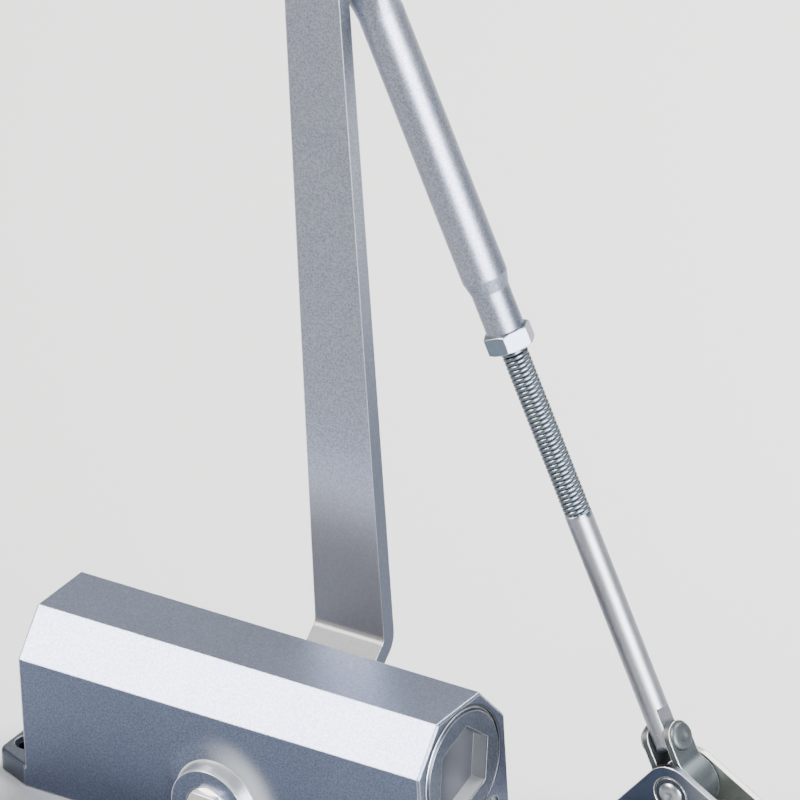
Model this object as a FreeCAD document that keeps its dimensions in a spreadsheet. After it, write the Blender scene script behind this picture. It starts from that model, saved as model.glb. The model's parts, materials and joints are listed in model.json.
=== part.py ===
import FreeCAD, Part
import math
import os
import re
import Sketcher

# Overhead door closer with a rack and pinion, a regular double-lever arm and a frame shoe.
# Frame in millimetres: X along the body, -Y towards the near boss, +Y towards the arm, +Z away from the door.
# The origin is the centre of the mounting face. The door is closed: the piston rests against the left plug.

V = FreeCAD.Vector

SIZES = {
    # Closer body
    "body_length": 140.5,
    "body_width": 43.6,
    "body_height": 55,
    "bevel_width": 11.1,
    "bevel_height": 12.8,
    "end_bevel": 0.6,
    "ear_reach": 12.8,
    "ear_thickness": 6.5,
    "ear_tip_width": 33.4,
    "ear_corner": 4,
    "ear_round": 1.2,
    "screw_reach": 6.75,
    "screw_spacing_y": 20,
    "screw_hole": 6,
    "screw_sink": 8.4,
    # Main bore and its plugs
    "bore_height": 35.2,
    "bore_radius": 17,
    "plug_radius": 18.6,
    "plug_depth": 12,
    "plug_stand": 0.4,
    "plug_rim": 1.3,
    "key_flats": 23,
    "key_depth": 5,
    "key_turn": 19.5,
    "plug_groove_inset": 3,
    "plug_seal_section": 1.8,
    "groove_room": 0.4,
    # Pinion bore, bosses, bushes and seals
    "pinion_x": -1.1,
    "pinion_height": 14.3,
    "boss_foot_radius": 19.2,
    "boss_foot": 1.2,
    "boss_radius": 14.1,
    "boss_top_radius": 12.9,
    "boss_height": 5.6,
    "boss_fillet": 9,
    "boss_wall": 3,
    "pinion_bore_radius": 10.5,
    "spindle_hole_radius": 7.7,
    "bush_start": 14,
    "shaft_seal_length": 2.6,
    "gland_engagement": 3,
    "gland_flange_radius": 12.2,
    "gland_flange": 2,
    "spanner_hole": 2.4,
    # Regulating valves
    "valve_y": 13.5,
    "valve_height": 15.8,
    "valve_head_radius": 3,
    "valve_head_length": 8,
    "valve_sink": 0.6,
    "valve_stem_radius": 1.9,
    "valve_stem_length": 6,
    "valve_tip_length": 2.4,
    "valve_slot_width": 1,
    "valve_slot_depth": 1.4,
    "valve_seal_section": 1,
    # Pinion teeth and spindle
    "tooth_module": 1.5,
    "tooth_count": 10,
    "pressure_angle": 25,
    "backlash": 0.15,
    "rack_addendum": 1.275,
    "rack_dedendum": 1.75,
    "pinion_root_drop": 1.5,
    "tooth_width": 18,
    "journal_radius": 7.4,
    "hexagon_flats": 12.8,
    "hexagon_turn": 56,
    "hexagon_stand": 2.5,
    # Main arm
    "arm_length": 262.1,
    "arm_thickness": 5,
    "arm_clearance": 5.8,
    "arm_offset": 11,
    "joggle_height": 36.9,
    "joggle_angle": 50,
    "joggle_radius": 3,
    "arm_foot_radius": 12.4,
    "arm_tip_radius": 9.25,
    "arm_screw_radius": 3,
    "arm_screw_depth": 12,
    "arm_screw_head_radius": 5.2,
    "arm_screw_head": 3.4,
    "arm_screw_socket": 4,
    "arm_washer_radius": 8.6,
    "arm_washer_thickness": 1.5,
    # Elbow
    "elbow_pin_radius": 4,
    "elbow_head_radius": 7,
    "elbow_head": 2,
    "elbow_washer_radius": 8.5,
    "elbow_washer_thickness": 1,
    # Forearm, its distances run from the elbow
    "forearm_angle": 21.9,
    "forearm_offset": 3.95,
    "tongue_thickness": 4.5,
    "tongue_radius": 9,
    "tongue_length": 20,
    "pressed_length": 20,
    "tube_radius": 6.8,
    "tube_wall": 1.5,
    "tube_length": 141,
    "neck_radius": 5.7,
    "neck_length": 12.7,
    "swage_length": 4.3,
    "nut_flats": 13,
    "nut_thickness": 5.6,
    "nut_chamfer": 0.9,
    # Adjusting rod
    "rod_radius": 4,
    "rod_inner_length": 51,
    "rod_tongue_thickness": 5.6,
    "rod_tongue_length": 10,
    # Knuckle, rivet and shoe
    "knuckle_reach": 14.8,
    "knuckle_width": 10,
    "knuckle_breadth": 10.4,
    "knuckle_ear": 2.1,
    "knuckle_ear_radius": 4.8,
    "knuckle_foot_radius": 8.6,
    "knuckle_bend": 4,
    "knuckle_room": 3.9,
    "rivet_radius": 2.5,
    "rivet_head_radius": 4.3,
    "rivet_head": 1.5,
    "rivet_dimple_radius": 1.5,
    "rivet_dimple": 0.3,
    "shoe_pin_height": 10.4,
    "shoe_pin_radius": 3,
    "shoe_pin_head_radius": 3.9,
    "shoe_pin_head": 1.2,
    "shoe_pin_socket": 4,
    "shoe_pin_end": 1.3,
    "shoe_washer_radius": 5.3,
    "shoe_washer_thickness": 0.8,
    "shoe_thickness": 2,
    "shoe_gap": 0.25,
    "shoe_top_radius": 9,
    "shoe_left_slope": 46.6,
    "shoe_right_slope": 30.5,
    "shoe_bend": 1.5,
    "shoe_window_room": 0.6,
    "shoe_sink": 0.9,
    "shoe_sink_radius": 5.7,
    "shoe_screw_spacing": 40,
    "shoe_screw_offset": 4.2,
    "shoe_screw_hole": 5,
    # Piston, check valve and spring
    "piston_length": 77.5,
    "piston_rest_gap": 0.25,
    "left_head": 14,
    "rack_length": 53,
    "spring_seat": 5,
    "spring_recess_radius": 15.8,
    "piston_seal_width": 2.4,
    "piston_seal_height": 1.8,
    "oil_passage": 1.7,
    "ball_radius": 2.5,
    "ball_cage_length": 5.2,
    "ball_cage_inset": 1.2,
    "spring_wire_radius": 1.7,
    "spring_coil_radius": 13.5,
    "spring_turns": 5.5,
    # Clearances
    "running_gap": 0.05,
    "seat_gap": 0.3,
}

doc = FreeCAD.newDocument("door_closer")
sheet = doc.addObject("Spreadsheet::Sheet", "Sizes")
for row, (alias, amount) in enumerate(SIZES.items(), 1):
    sheet.set(f"A{row}", alias)
    sheet.set(f"B{row}", str(amount))
    sheet.setAlias(f"B{row}", alias)
doc.recompute()

# Places that several pieces share, worked out from the sizes
BLOCK_END = "(body_length / 2)"
PLUG_SEAT = "(body_length / 2 - plug_depth)"
PLUG_FACE = "(body_length / 2 + plug_stand)"
BOSS_FACE = "(body_width / 2 + boss_height)"
SEAL_FLOOR = "(body_width / 2 + boss_height - boss_wall)"
GLAND_FLOOR = "(body_width / 2 + boss_height - gland_engagement)"
PITCH_RADIUS = "(tooth_module * tooth_count / 2)"
PITCH_LINE = "(pinion_height + tooth_module * tooth_count / 2)"
PISTON_RADIUS = "(bore_radius - running_gap)"
PISTON_LEFT = "(-body_length / 2 + plug_depth + piston_rest_gap)"
PISTON_RIGHT = "(-body_length / 2 + plug_depth + piston_rest_gap + piston_length)"
RACK_START = "(-body_length / 2 + plug_depth + piston_rest_gap + left_head)"
RACK_END = "(-body_length / 2 + plug_depth + piston_rest_gap + left_head + rack_length)"
ELBOW_HEIGHT = "(pinion_height + arm_length)"
ARM_FOOT = "(body_width / 2 + boss_height + gland_flange + arm_clearance)"
ARM_FACE = f"({ARM_FOOT} + arm_offset)"
ARM_BACK = f"({ARM_FOOT} + arm_offset + arm_thickness)"
TONGUE_FACE = f"({ARM_FOOT} + arm_offset + arm_thickness + elbow_washer_thickness + seat_gap)"
FOREARM_Y = f"({TONGUE_FACE} + tongue_thickness / 2 + forearm_offset)"
FOREARM_LENGTH = "((pinion_height + arm_length - shoe_pin_height) / cos(forearm_angle))"
RIVET_PLACE = "((pinion_height + arm_length - shoe_pin_height) / cos(forearm_angle) - knuckle_reach)"
SHOE_PIN_X = "(pinion_x + (pinion_height + arm_length - shoe_pin_height) * tan(forearm_angle))"
SHOE_INNER = "(knuckle_width / 2 + shoe_gap)"
SHOE_OUTER = "(knuckle_width / 2 + shoe_gap + shoe_thickness)"

TURNS = {
    "X": FreeCAD.Rotation(V(0, 1, 0), 90),
    "Y": FreeCAD.Rotation(V(1, 0, 0), -90),
    "Z": FreeCAD.Rotation(),
}
PLANES = {
    "XY": FreeCAD.Rotation(),
    "XZ": FreeCAD.Rotation(V(1, 0, 0), 90),
    "YZ": FreeCAD.Rotation(V(0, 1, 0), V(0, 0, 1), V(1, 0, 0), "ZXY"),
}


def full(text):
    """Write the sheet's name before each size that an expression names."""
    return re.sub(r"[a-z][a-z_]*", lambda word: "Sizes." + word[0] if word[0] in SIZES else word[0], text)


def number(text):
    """Work an expression out to a plain number."""
    return float(sheet.evalExpression(full(text)))


def bind(item, path, text):
    """Tie a property of an object to an expression of the sheet."""
    item.setExpression(path, full(text))


def place(item, base, rotation=FreeCAD.Rotation()):
    """Turn an object and tie its three coordinates to expressions."""
    item.Placement = FreeCAD.Placement(V(), rotation)
    for axis, text in zip("xyz", base):
        bind(item, f"Placement.Base.{axis}", text)


def hang(item):
    """Hang a piece drawn along the forearm, with its length along Z, from the elbow."""
    place(item, ("pinion_x", "0", ELBOW_HEIGHT), FreeCAD.Rotation(V(0, 1, 0), 1))
    bind(item, "Placement.Rotation.Angle", "180 - forearm_angle")


def hold(sketch, curve, point, across, up):
    """Hold one point of a sketch at its distances from the sketch's origin."""
    for kind, axis, text in (("DistanceX", -2, across), ("DistanceY", -1, up)):
        if text == "0":
            sketch.addConstraint(Sketcher.Constraint("PointOnObject", curve, point, axis))
        else:
            distance = Sketcher.Constraint(kind, -1, 1, curve, point, number(text))
            bind(sketch, f"Constraints[{sketch.addConstraint(distance)}]", text)


def draw_polygon(sketch, corners):
    """Draw a closed outline of straight lines through corners given as expressions."""
    first = sketch.GeometryCount
    count = len(corners)
    places = [V(number(across), number(up), 0) for across, up in corners]
    for index in range(count):
        sketch.addGeometry(Part.LineSegment(places[index], places[(index + 1) % count]))
    for index in range(count):
        following = first + (index + 1) % count
        sketch.addConstraint(Sketcher.Constraint("Coincident", first + index, 2, following, 1))
        hold(sketch, first + index, 1, *corners[index])


def draw_circle(sketch, centre, radius):
    """Draw a circle round a centre given as expressions."""
    middle = V(number(centre[0]), number(centre[1]), 0)
    circle = sketch.addGeometry(Part.Circle(middle, V(0, 0, 1), number(radius)))
    hold(sketch, circle, 3, *centre)
    size = sketch.addConstraint(Sketcher.Constraint("Radius", circle, number(radius)))
    bind(sketch, f"Constraints[{size}]", radius)


def draw_link(sketch, low, low_radius, high, high_radius):
    """Draw two arcs about two centres, joined by their outer tangents."""
    ends = [V(number(across), number(up), 0) for across, up in (low, high)]
    radii = [number(low_radius), number(high_radius)]
    step = ends[1] - ends[0]
    heading = math.atan2(step.y, step.x)
    spread = math.acos((radii[0] - radii[1]) / step.Length)

    def rim(index, side):
        angle = heading + side * spread
        return ends[index] + V(math.cos(angle), math.sin(angle), 0) * radii[index]

    circles = [Part.Circle(ends[index], V(0, 0, 1), radii[index]) for index in (0, 1)]
    high_arc = sketch.addGeometry(Part.ArcOfCircle(circles[1], heading - spread, heading + spread))
    left_line = sketch.addGeometry(Part.LineSegment(rim(1, 1), rim(0, 1)))
    whole = 2 * math.pi
    low_arc = sketch.addGeometry(Part.ArcOfCircle(circles[0], heading + spread, heading - spread + whole))
    right_line = sketch.addGeometry(Part.LineSegment(rim(0, -1), rim(1, -1)))
    loop = [high_arc, left_line, low_arc, right_line]
    for curve, following in zip(loop, loop[1:] + loop[:1]):
        sketch.addConstraint(Sketcher.Constraint("Tangent", curve, 2, following, 1))
    for arc, centre, radius in ((low_arc, low, low_radius), (high_arc, high, high_radius)):
        hold(sketch, arc, 3, *centre)
        size = sketch.addConstraint(Sketcher.Constraint("Radius", arc, number(radius)))
        bind(sketch, f"Constraints[{size}]", radius)


def hexagon(flats, turn="0"):
    """Return the corners of a hexagon across its flats, turned from the first axis."""
    reach = f"{flats} / 2 / cos(30)"
    angles = [f"({turn} + {60 * corner})" for corner in range(6)]
    return [(f"{reach} * cos{angle}", f"{reach} * sin{angle}") for angle in angles]


def free_sketch(name, plane, base=("0", "0", "0")):
    """Start a sketch that a Part feature will use."""
    sketch = doc.addObject("Sketcher::SketchObject", name)
    place(sketch, base, PLANES[plane])
    return sketch


def body_sketch(body, name, plane, offset=("0", "0", "0")):
    """Start a sketch on one of a body's own origin planes, shifted by expressions."""
    sketch = body.newObject("Sketcher::SketchObject", name)
    support = next(item for item in body.Origin.OriginFeatures if item.Role == plane + "_Plane")
    sketch.AttachmentSupport = (support, [""])
    sketch.MapMode = "FlatFace"
    for axis, text in zip("xyz", offset):
        bind(sketch, f"AttachmentOffset.Base.{axis}", text)
    return sketch


def add(body, kind, name, sketch, **sizes):
    """Add a feature of a body and tie its sizes."""
    item = body.newObject("PartDesign::" + kind, name)
    if sketch:
        item.Profile = sketch
    if kind in ("Revolution", "Groove"):
        item.ReferenceAxis = (sketch, ["H_Axis"])
        item.Angle = 360
    for path, text in sizes.items():
        bind(item, path, text)
    doc.recompute()
    return item


def remove(body, kind, name, sketch, both_ways=False, through=False, **sizes):
    """Cut a feature out of a body and make sure that it took something away."""
    before = body.Shape.Volume
    item = add(body, kind, name, sketch, **sizes)
    if both_ways:
        item.Midplane = True
    if through:
        item.Type = "ThroughAll"
    doc.recompute()
    if not body.Shape.Volume < before - 0.01:
        raise ValueError(f"{name} cuts nothing")
    return item


def mirror(body, name, originals, plane):
    """Repeat features of a body on the other side of one of its origin planes."""
    item = body.newObject("PartDesign::Mirrored", name)
    item.Originals = originals
    support = next(part for part in body.Origin.OriginFeatures if part.Role == plane + "_Plane")
    item.MirrorPlane = (support, [""])
    body.Tip = item
    doc.recompute()
    return item


def dress(body, kind, name, base, test, path, text):
    """Round or bevel the edges of a body that pass a test."""
    item = body.newObject("PartDesign::" + kind, name)
    edges = [f"Edge{index}" for index, edge in enumerate(base.Shape.Edges, 1) if test(edge)]
    item.Base = (base, edges)
    bind(item, path, text)
    doc.recompute()
    return item


def primitive(kind, name, base, axis="Z", **sizes):
    """Make a Part primitive with its length along an axis and its sizes tied."""
    item = doc.addObject("Part::" + kind, name)
    for path, text in sizes.items():
        bind(item, path, text)
    place(item, base, TURNS[axis])
    return item


def fuse(name, pieces):
    """Join shapes into one."""
    item = doc.addObject("Part::MultiFuse", name)
    item.Shapes = pieces
    item.Refine = True
    return item


def common(name, pieces):
    """Keep what shapes share."""
    item = doc.addObject("Part::MultiCommon", name)
    item.Shapes = pieces
    item.Refine = True
    return item


def cut(name, base, tools):
    """Take tools away from a shape."""
    item = doc.addObject("Part::Cut", name)
    item.Base = base
    item.Tool = tools[0] if len(tools) == 1 else fuse(name + "Tools", tools)
    return item


def extrude(name, sketch, length):
    """Extrude a sketch both ways along its normal."""
    item = doc.addObject("Part::Extrusion", name)
    item.Base = sketch
    item.DirMode = "Normal"
    item.Solid = True
    item.Symmetric = True
    bind(item, "LengthFwd", length)
    return item


def ring(name, axis, base, outer, inner, length):
    """Make a plain ring along an axis."""
    whole = primitive("Cylinder", name + "Whole", base, axis, Radius=outer, Height=length)
    hole = primitive("Cylinder", name + "Hole", base, axis, Radius=inner, Height=length)
    return cut(name, whole, [hole])


def label(item, name):
    """Give a finished sub-part its name."""
    item.Label = name
    return item


def make_housing():
    """The cast block with its bevels, ears, bosses, bores and screw holes."""
    body = doc.addObject("PartDesign::Body", "Housing")
    half = number(BLOCK_END)
    side = number("body_width / 2")

    # Block with its two long bevels and the bevelled ends, drawn below its mounting face for now
    section = body_sketch(body, "HousingSection", "YZ")
    draw_polygon(section, [
        ("-body_width / 2", "-boss_foot_radius / 2"),
        ("body_width / 2", "-boss_foot_radius / 2"),
        ("body_width / 2", "body_height - bevel_height"),
        ("body_width / 2 - bevel_width", "body_height"),
        ("bevel_width - body_width / 2", "body_height"),
        ("-body_width / 2", "body_height - bevel_height"),
    ])
    block = add(body, "Pad", "HousingBlock", section, Length="body_length")
    block.Midplane = True
    doc.recompute()

    def on_end(edge):
        box = edge.BoundBox
        return box.XLength < 0.01 and abs(abs(box.XMin) - half) < 0.01 and box.ZMax > 0.01

    dress(body, "Chamfer", "HousingEndBevel", block, on_end, "Size", "end_bevel")

    # Mounting ears, one plate under the whole block
    plate = body_sketch(body, "HousingEarOutline", "XY")
    tip = "body_length / 2 + ear_reach"
    draw_polygon(plate, [
        (f"-({tip})", "-ear_tip_width / 2"),
        ("-body_length / 2", "-body_width / 2"),
        ("body_length / 2", "-body_width / 2"),
        (tip, "-ear_tip_width / 2"),
        (tip, "ear_tip_width / 2"),
        ("body_length / 2", "body_width / 2"),
        ("-body_length / 2", "body_width / 2"),
        (f"-({tip})", "ear_tip_width / 2"),
    ])
    ears = add(body, "Pad", "HousingEars", plate, Length="ear_thickness")

    def on_tip(edge):
        box = edge.BoundBox
        return box.XLength < 0.01 and box.YLength < 0.01 and abs(abs(box.XMin) - number(tip)) < 0.01

    corners = dress(body, "Fillet", "HousingEarCorners", ears, on_tip, "Radius", "ear_corner")

    def on_ear_top(edge):
        box = edge.BoundBox
        level = box.ZLength < 0.01 and abs(box.ZMax - number("ear_thickness")) < 0.01
        return level and max(abs(box.XMin), abs(box.XMax)) > half + number("ear_reach") / 2

    dress(body, "Fillet", "HousingEarEdges", corners, on_ear_top, "Radius", "ear_round")

    # Tapered pinion bosses on broad shallow feet, rounded into the sides and cut level with the mounting face
    foot = add(body, "AdditiveCone", "HousingBossFoot", None, Radius1="boss_foot_radius",
               Radius2="boss_radius", Height="boss_foot")
    boss = add(body, "AdditiveCone", "HousingBoss", None, Radius1="boss_radius",
               Radius2="boss_top_radius", Height="boss_height")
    for cone in (foot, boss):
        cone.AttachmentSupport = (next(f for f in body.Origin.OriginFeatures if f.Role == "XZ_Plane"), [""])
        cone.MapMode = "FlatFace"
        for axis, text in zip("xyz", ("pinion_x", "pinion_height", "body_width / 2")):
            bind(cone, f"AttachmentOffset.Base.{axis}", text)
    doc.recompute()
    bosses = mirror(body, "HousingBosses", [foot, boss], "XZ")

    def on_boss_foot(edge):
        box = edge.BoundBox
        round_edge = edge.Curve.TypeId == "Part::GeomCircle" and box.YLength < 0.01
        return round_edge and abs(abs(box.YMin) - side) < 0.01 and edge.Curve.Radius > number("boss_radius")

    dress(body, "Fillet", "HousingBossFillet", bosses, on_boss_foot, "Radius", "boss_fillet")
    level = body_sketch(body, "HousingLevel", "XY")
    draw_polygon(level, [
        ("-body_length", "-body_length"),
        ("body_length", "-body_length"),
        ("body_length", "body_length"),
        ("-body_length", "body_length"),
    ])
    remove(body, "Pocket", "HousingMountingFace", level, Length="body_height")

    # Main bore with a wider threaded seat for the plug at each end
    bore = body_sketch(body, "HousingBoreProfile", "XZ", ("0", "bore_height", "0"))
    seat_radius = "plug_radius + running_gap"
    outside = "body_length / 2 + end_bevel"
    draw_polygon(bore, [
        (f"-({outside})", "0"),
        (f"-({outside})", seat_radius),
        (f"-{PLUG_SEAT}", seat_radius),
        (f"-{PLUG_SEAT}", "bore_radius"),
        (PLUG_SEAT, "bore_radius"),
        (PLUG_SEAT, seat_radius),
        (outside, seat_radius),
        (outside, "0"),
    ])
    remove(body, "Groove", "HousingBore", bore)

    # Pinion bore, open to the arm side, with the spindle's hole in the near boss
    cross = body_sketch(body, "HousingPinionProfile", "YZ", ("0", "pinion_height", "pinion_x"))
    beyond = f"{BOSS_FACE} + boss_wall"
    draw_polygon(cross, [
        (f"-({beyond})", "0"),
        (f"-({beyond})", "spindle_hole_radius"),
        (f"-{SEAL_FLOOR}", "spindle_hole_radius"),
        (f"-{SEAL_FLOOR}", "pinion_bore_radius"),
        (beyond, "pinion_bore_radius"),
        (beyond, "0"),
    ])
    remove(body, "Groove", "HousingPinionBore", cross)

    # Stepped valve holes in the right end
    valve = body_sketch(body, "HousingValveProfile", "XZ", ("0", "valve_height", "valve_y"))
    step = f"{BLOCK_END} - valve_sink - valve_head_length"
    depth = f"{step} - valve_stem_length - valve_tip_length"
    draw_polygon(valve, [
        (outside, "0"),
        (outside, "valve_head_radius + running_gap"),
        (f"{step} - seat_gap", "valve_head_radius + running_gap"),
        (f"{step} - seat_gap", "valve_stem_radius + running_gap"),
        (f"{depth} - seat_gap", "valve_stem_radius + running_gap"),
        (f"{depth} - seat_gap", "0"),
    ])
    valve_hole = remove(body, "Groove", "HousingValveHole", valve)
    mirror(body, "HousingValveHoles", [valve_hole], "XZ")

    # Four countersunk screw holes in the ears
    screws = body_sketch(body, "HousingScrewPlaces", "XY", ("0", "0", "ear_thickness"))
    for across in ("body_length / 2 + screw_reach", "-body_length / 2 - screw_reach"):
        for up in ("screw_spacing_y / 2", "-screw_spacing_y / 2"):
            draw_circle(screws, (across, up), "screw_hole / 2")
    doc.recompute()
    before = body.Shape.Volume
    holes = body.newObject("PartDesign::Hole", "HousingScrewHoles")
    holes.Profile = screws
    holes.DepthType = "ThroughAll"
    holes.HoleCutType = "Countersink"
    holes.HoleCutCustomValues = True
    holes.HoleCutCountersinkAngle = 90
    bind(holes, "Diameter", "screw_hole")
    bind(holes, "HoleCutDiameter", "screw_sink")
    doc.recompute()
    if not body.Shape.Volume < before - 0.01:
        raise ValueError("the screw holes cut nothing")
    return label(body, "housing")


def make_end_plug(name, turn):
    """A screwed plug with a seal groove and a hexagon recess, drawn for the right end."""
    body = doc.addObject("PartDesign::Body", name.title().replace("_", ""))
    profile = body_sketch(body, body.Name + "Profile", "XZ")
    groove_start = f"{PLUG_SEAT} + plug_groove_inset"
    groove_end = f"{groove_start} + plug_seal_section + groove_room"
    groove_floor = "plug_radius - plug_seal_section - running_gap"
    draw_polygon(profile, [
        (PLUG_SEAT, "0"),
        (PLUG_SEAT, "plug_radius"),
        (groove_start, "plug_radius"),
        (groove_start, groove_floor),
        (groove_end, groove_floor),
        (groove_end, "plug_radius"),
        (f"{PLUG_FACE} - plug_rim", "plug_radius"),
        (PLUG_FACE, "plug_radius - plug_rim"),
        (PLUG_FACE, "0"),
    ])
    add(body, "Revolution", body.Name + "Disc", profile)
    key = body_sketch(body, body.Name + "KeyOutline", "YZ", ("0", "0", PLUG_FACE))
    draw_polygon(key, hexagon("key_flats", "key_turn"))
    remove(body, "Pocket", body.Name + "Key", key, Length="key_depth")
    place(body, ("0", "0", "bore_height"), FreeCAD.Rotation(V(0, 0, 1), turn))
    return label(body, name)


def make_plug_seal(name, side):
    """An O-ring in a plug's groove."""
    middle = f"{side} * ({PLUG_SEAT} + plug_groove_inset + (plug_seal_section + groove_room) / 2)"
    seal = primitive("Torus", name.title().replace("_", ""), (middle, "0", "bore_height"), "X",
                     Radius1="plug_radius - plug_seal_section / 2", Radius2="plug_seal_section / 2")
    return label(seal, name)


def make_bush(name, side, floor):
    """A pressed bush that the pinion's journal turns in. It fills the bore up to the shaft seal."""
    length = f"{floor} - shaft_seal_length - 2 * seat_gap - bush_start"
    start = f"{side} * (bush_start + ({length}) / 2) - ({length}) / 2"
    bush = ring(name.title().replace("_", ""), "Y", ("pinion_x", start, "pinion_height"),
                "pinion_bore_radius - running_gap", "journal_radius + running_gap", length)
    return label(bush, name)


def make_shaft_seal(name, start):
    """A rubber ring between the journal and the bore."""
    seal = ring(name.title().replace("_", ""), "Y", ("pinion_x", start, "pinion_height"),
                "pinion_bore_radius - running_gap", "journal_radius + running_gap", "shaft_seal_length")
    return label(seal, name)


def make_gland_nut():
    """The threaded ring that closes the pinion bore on the arm side, with two spanner holes."""
    start = ("pinion_x", f"{BOSS_FACE} - gland_engagement", "pinion_height")
    flange_start = ("pinion_x", BOSS_FACE, "pinion_height")
    thread = primitive("Cylinder", "GlandThread", start, "Y",
                       Radius="pinion_bore_radius - running_gap", Height="gland_engagement")
    flange = primitive("Cylinder", "GlandFlange", flange_start, "Y",
                       Radius="gland_flange_radius", Height="gland_flange")
    tools = [primitive("Cylinder", "GlandHole", start, "Y", Radius="spindle_hole_radius",
                       Height="gland_engagement + gland_flange")]
    spread = "(gland_flange_radius + spindle_hole_radius) / 2"
    for index, side in enumerate((-1, 1)):
        base = (f"pinion_x + {side} * {spread}", f"{BOSS_FACE} + gland_flange / 4", "pinion_height")
        tools.append(primitive("Cylinder", f"GlandSpannerHole{index}", base, "Y",
                               Radius="spanner_hole / 2", Height="gland_flange"))
    return label(cut("GlandNut", fuse("GlandBlank", [thread, flange]), tools), "gland_nut")


def make_valve_screw(name, side):
    """A regulating screw: slotted head with a seal groove, stem and tapered tip."""
    word = name.title().replace("_", "")
    y = f"{side} * valve_y"
    face = f"{BLOCK_END} - valve_sink"
    head = primitive("Cylinder", word + "Head", (f"{face} - valve_head_length", y, "valve_height"), "X",
                     Radius="valve_head_radius", Height="valve_head_length")
    stem = primitive("Cylinder", word + "Stem",
                     (f"{face} - valve_head_length - valve_stem_length", y, "valve_height"), "X",
                     Radius="valve_stem_radius", Height="valve_stem_length")
    tip = primitive("Cone", word + "Tip",
                    (f"{face} - valve_head_length - valve_stem_length - valve_tip_length", y, "valve_height"),
                    "X", Radius1="valve_stem_radius / 4", Radius2="valve_stem_radius", Height="valve_tip_length")
    slot = primitive("Box", word + "Slot",
                     (f"{face} - valve_slot_depth", f"{y} - valve_slot_width / 2",
                      "valve_height - 2 * valve_head_radius"),
                     Length="2 * valve_slot_depth", Width="valve_slot_width", Height="4 * valve_head_radius")
    groove = ring(word + "Groove", "X", (f"{face} - 2 * valve_head_length / 3", y, "valve_height"),
                  "2 * valve_head_radius", "valve_head_radius - valve_seal_section",
                  "valve_seal_section + groove_room / 2")
    return label(cut(word, fuse(word + "Blank", [head, stem, tip]), [slot, groove]), name)


def make_valve_seal(name, side):
    """An O-ring in a regulating screw's groove."""
    middle = f"{BLOCK_END} - valve_sink - 2 * valve_head_length / 3 + valve_seal_section / 2 + groove_room / 4"
    seal = primitive("Torus", name.title().replace("_", ""), (middle, f"{side} * valve_y", "valve_height"), "X",
                     Radius1="valve_head_radius - valve_seal_section / 2 + running_gap / 2",
                     Radius2="valve_seal_section / 2 - running_gap / 2")
    return label(seal, name)


def make_pinion_teeth():
    """The toothed length of the pinion: involute flanks above radial roots, one tooth straight up."""
    pitch_radius = number(PITCH_RADIUS)
    pressure = math.radians(number("pressure_angle"))
    base_radius = pitch_radius * math.cos(pressure)
    tip_radius = pitch_radius + number("tooth_module")
    root_radius = pitch_radius - number("pinion_root_drop")
    count = round(number("tooth_count"))
    thickness = math.pi * number("tooth_module") / 2
    width = number("tooth_width")

    def half_angle(radius):
        angle = math.acos(base_radius / radius)
        unwound = math.tan(pressure) - pressure - math.tan(angle) + angle
        return thickness / 2 / pitch_radius + unwound

    def at(radius, angle):
        return V(radius * math.sin(angle), -width / 2, radius * math.cos(angle))

    steps = 5
    radii = [base_radius + (tip_radius - base_radius) * step / (steps - 1) for step in range(steps)]
    edges = []
    for tooth in range(count):
        middle = 2 * math.pi * tooth / count
        following = middle + 2 * math.pi / count
        foot = half_angle(base_radius)
        rising = Part.BSplineCurve()
        rising.interpolate([at(radius, middle - half_angle(radius)) for radius in radii])
        falling = Part.BSplineCurve()
        falling.interpolate([at(radius, middle + half_angle(radius)) for radius in reversed(radii)])
        tip = [at(tip_radius, middle + side * half_angle(tip_radius)) for side in (-1, 0, 1)]
        root = [at(root_radius, angle) for angle in (middle + foot, (middle + following) / 2, following - foot)]
        edges.append(Part.LineSegment(at(root_radius, middle - foot), at(base_radius, middle - foot)).toShape())
        edges.append(rising.toShape())
        edges.append(Part.Arc(*tip).toShape())
        edges.append(falling.toShape())
        edges.append(Part.LineSegment(at(base_radius, middle + foot), at(root_radius, middle + foot)).toShape())
        edges.append(Part.Arc(*root).toShape())
    teeth = doc.addObject("Part::Feature", "PinionTeeth")
    teeth.Shape = Part.Face(Part.Wire(edges)).extrude(V(0, width, 0))
    place(teeth, ("pinion_x", "0", "pinion_height"))
    return teeth


def spindle_hexagon(name, start, **sizes):
    """Make a hexagon about the pinion's line, with one corner at the hexagon's turn from X."""
    base = ("pinion_x", start, "pinion_height")
    item = primitive("Prism", name, base, "Y", **sizes)
    place(item, base, FreeCAD.Rotation(V(0, 1, 0), -number("hexagon_turn")) * TURNS["Y"])
    return item


def make_pinion_shaft():
    """Toothed shaft with two journals, a hexagon at each end and a tapped hole for the arm's screw."""
    def along(kind, name, start, end, **sizes):
        base = ("pinion_x", start, "pinion_height")
        return primitive(kind, name, base, "Y", Height=f"({end}) - ({start})", **sizes)

    near_face = f"-({BOSS_FACE} + hexagon_stand)"
    reach = "(hexagon_flats - 2 * running_gap) / 2 / cos(30)"
    pieces = [
        make_pinion_teeth(),
        along("Cylinder", "PinionNearJournal", f"-{BOSS_FACE}", "-tooth_width / 2", Radius="journal_radius"),
        along("Cylinder", "PinionFarJournal", "tooth_width / 2", ARM_FOOT, Radius="journal_radius"),
        spindle_hexagon("PinionNearHexagon", near_face, Circumradius=reach, Height="boss_wall + hexagon_stand"),
        spindle_hexagon("PinionFarHexagon", ARM_FOOT, Circumradius=reach, Height="arm_thickness - seat_gap"),
    ]
    hole = along("Cylinder", "PinionScrewHole", f"{ARM_FOOT} + arm_thickness - arm_screw_depth",
                 f"{ARM_FOOT} + arm_thickness", Radius="arm_screw_radius + running_gap")
    return label(cut("PinionShaft", fuse("PinionBlank", pieces), [hole]), "pinion_shaft")


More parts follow.
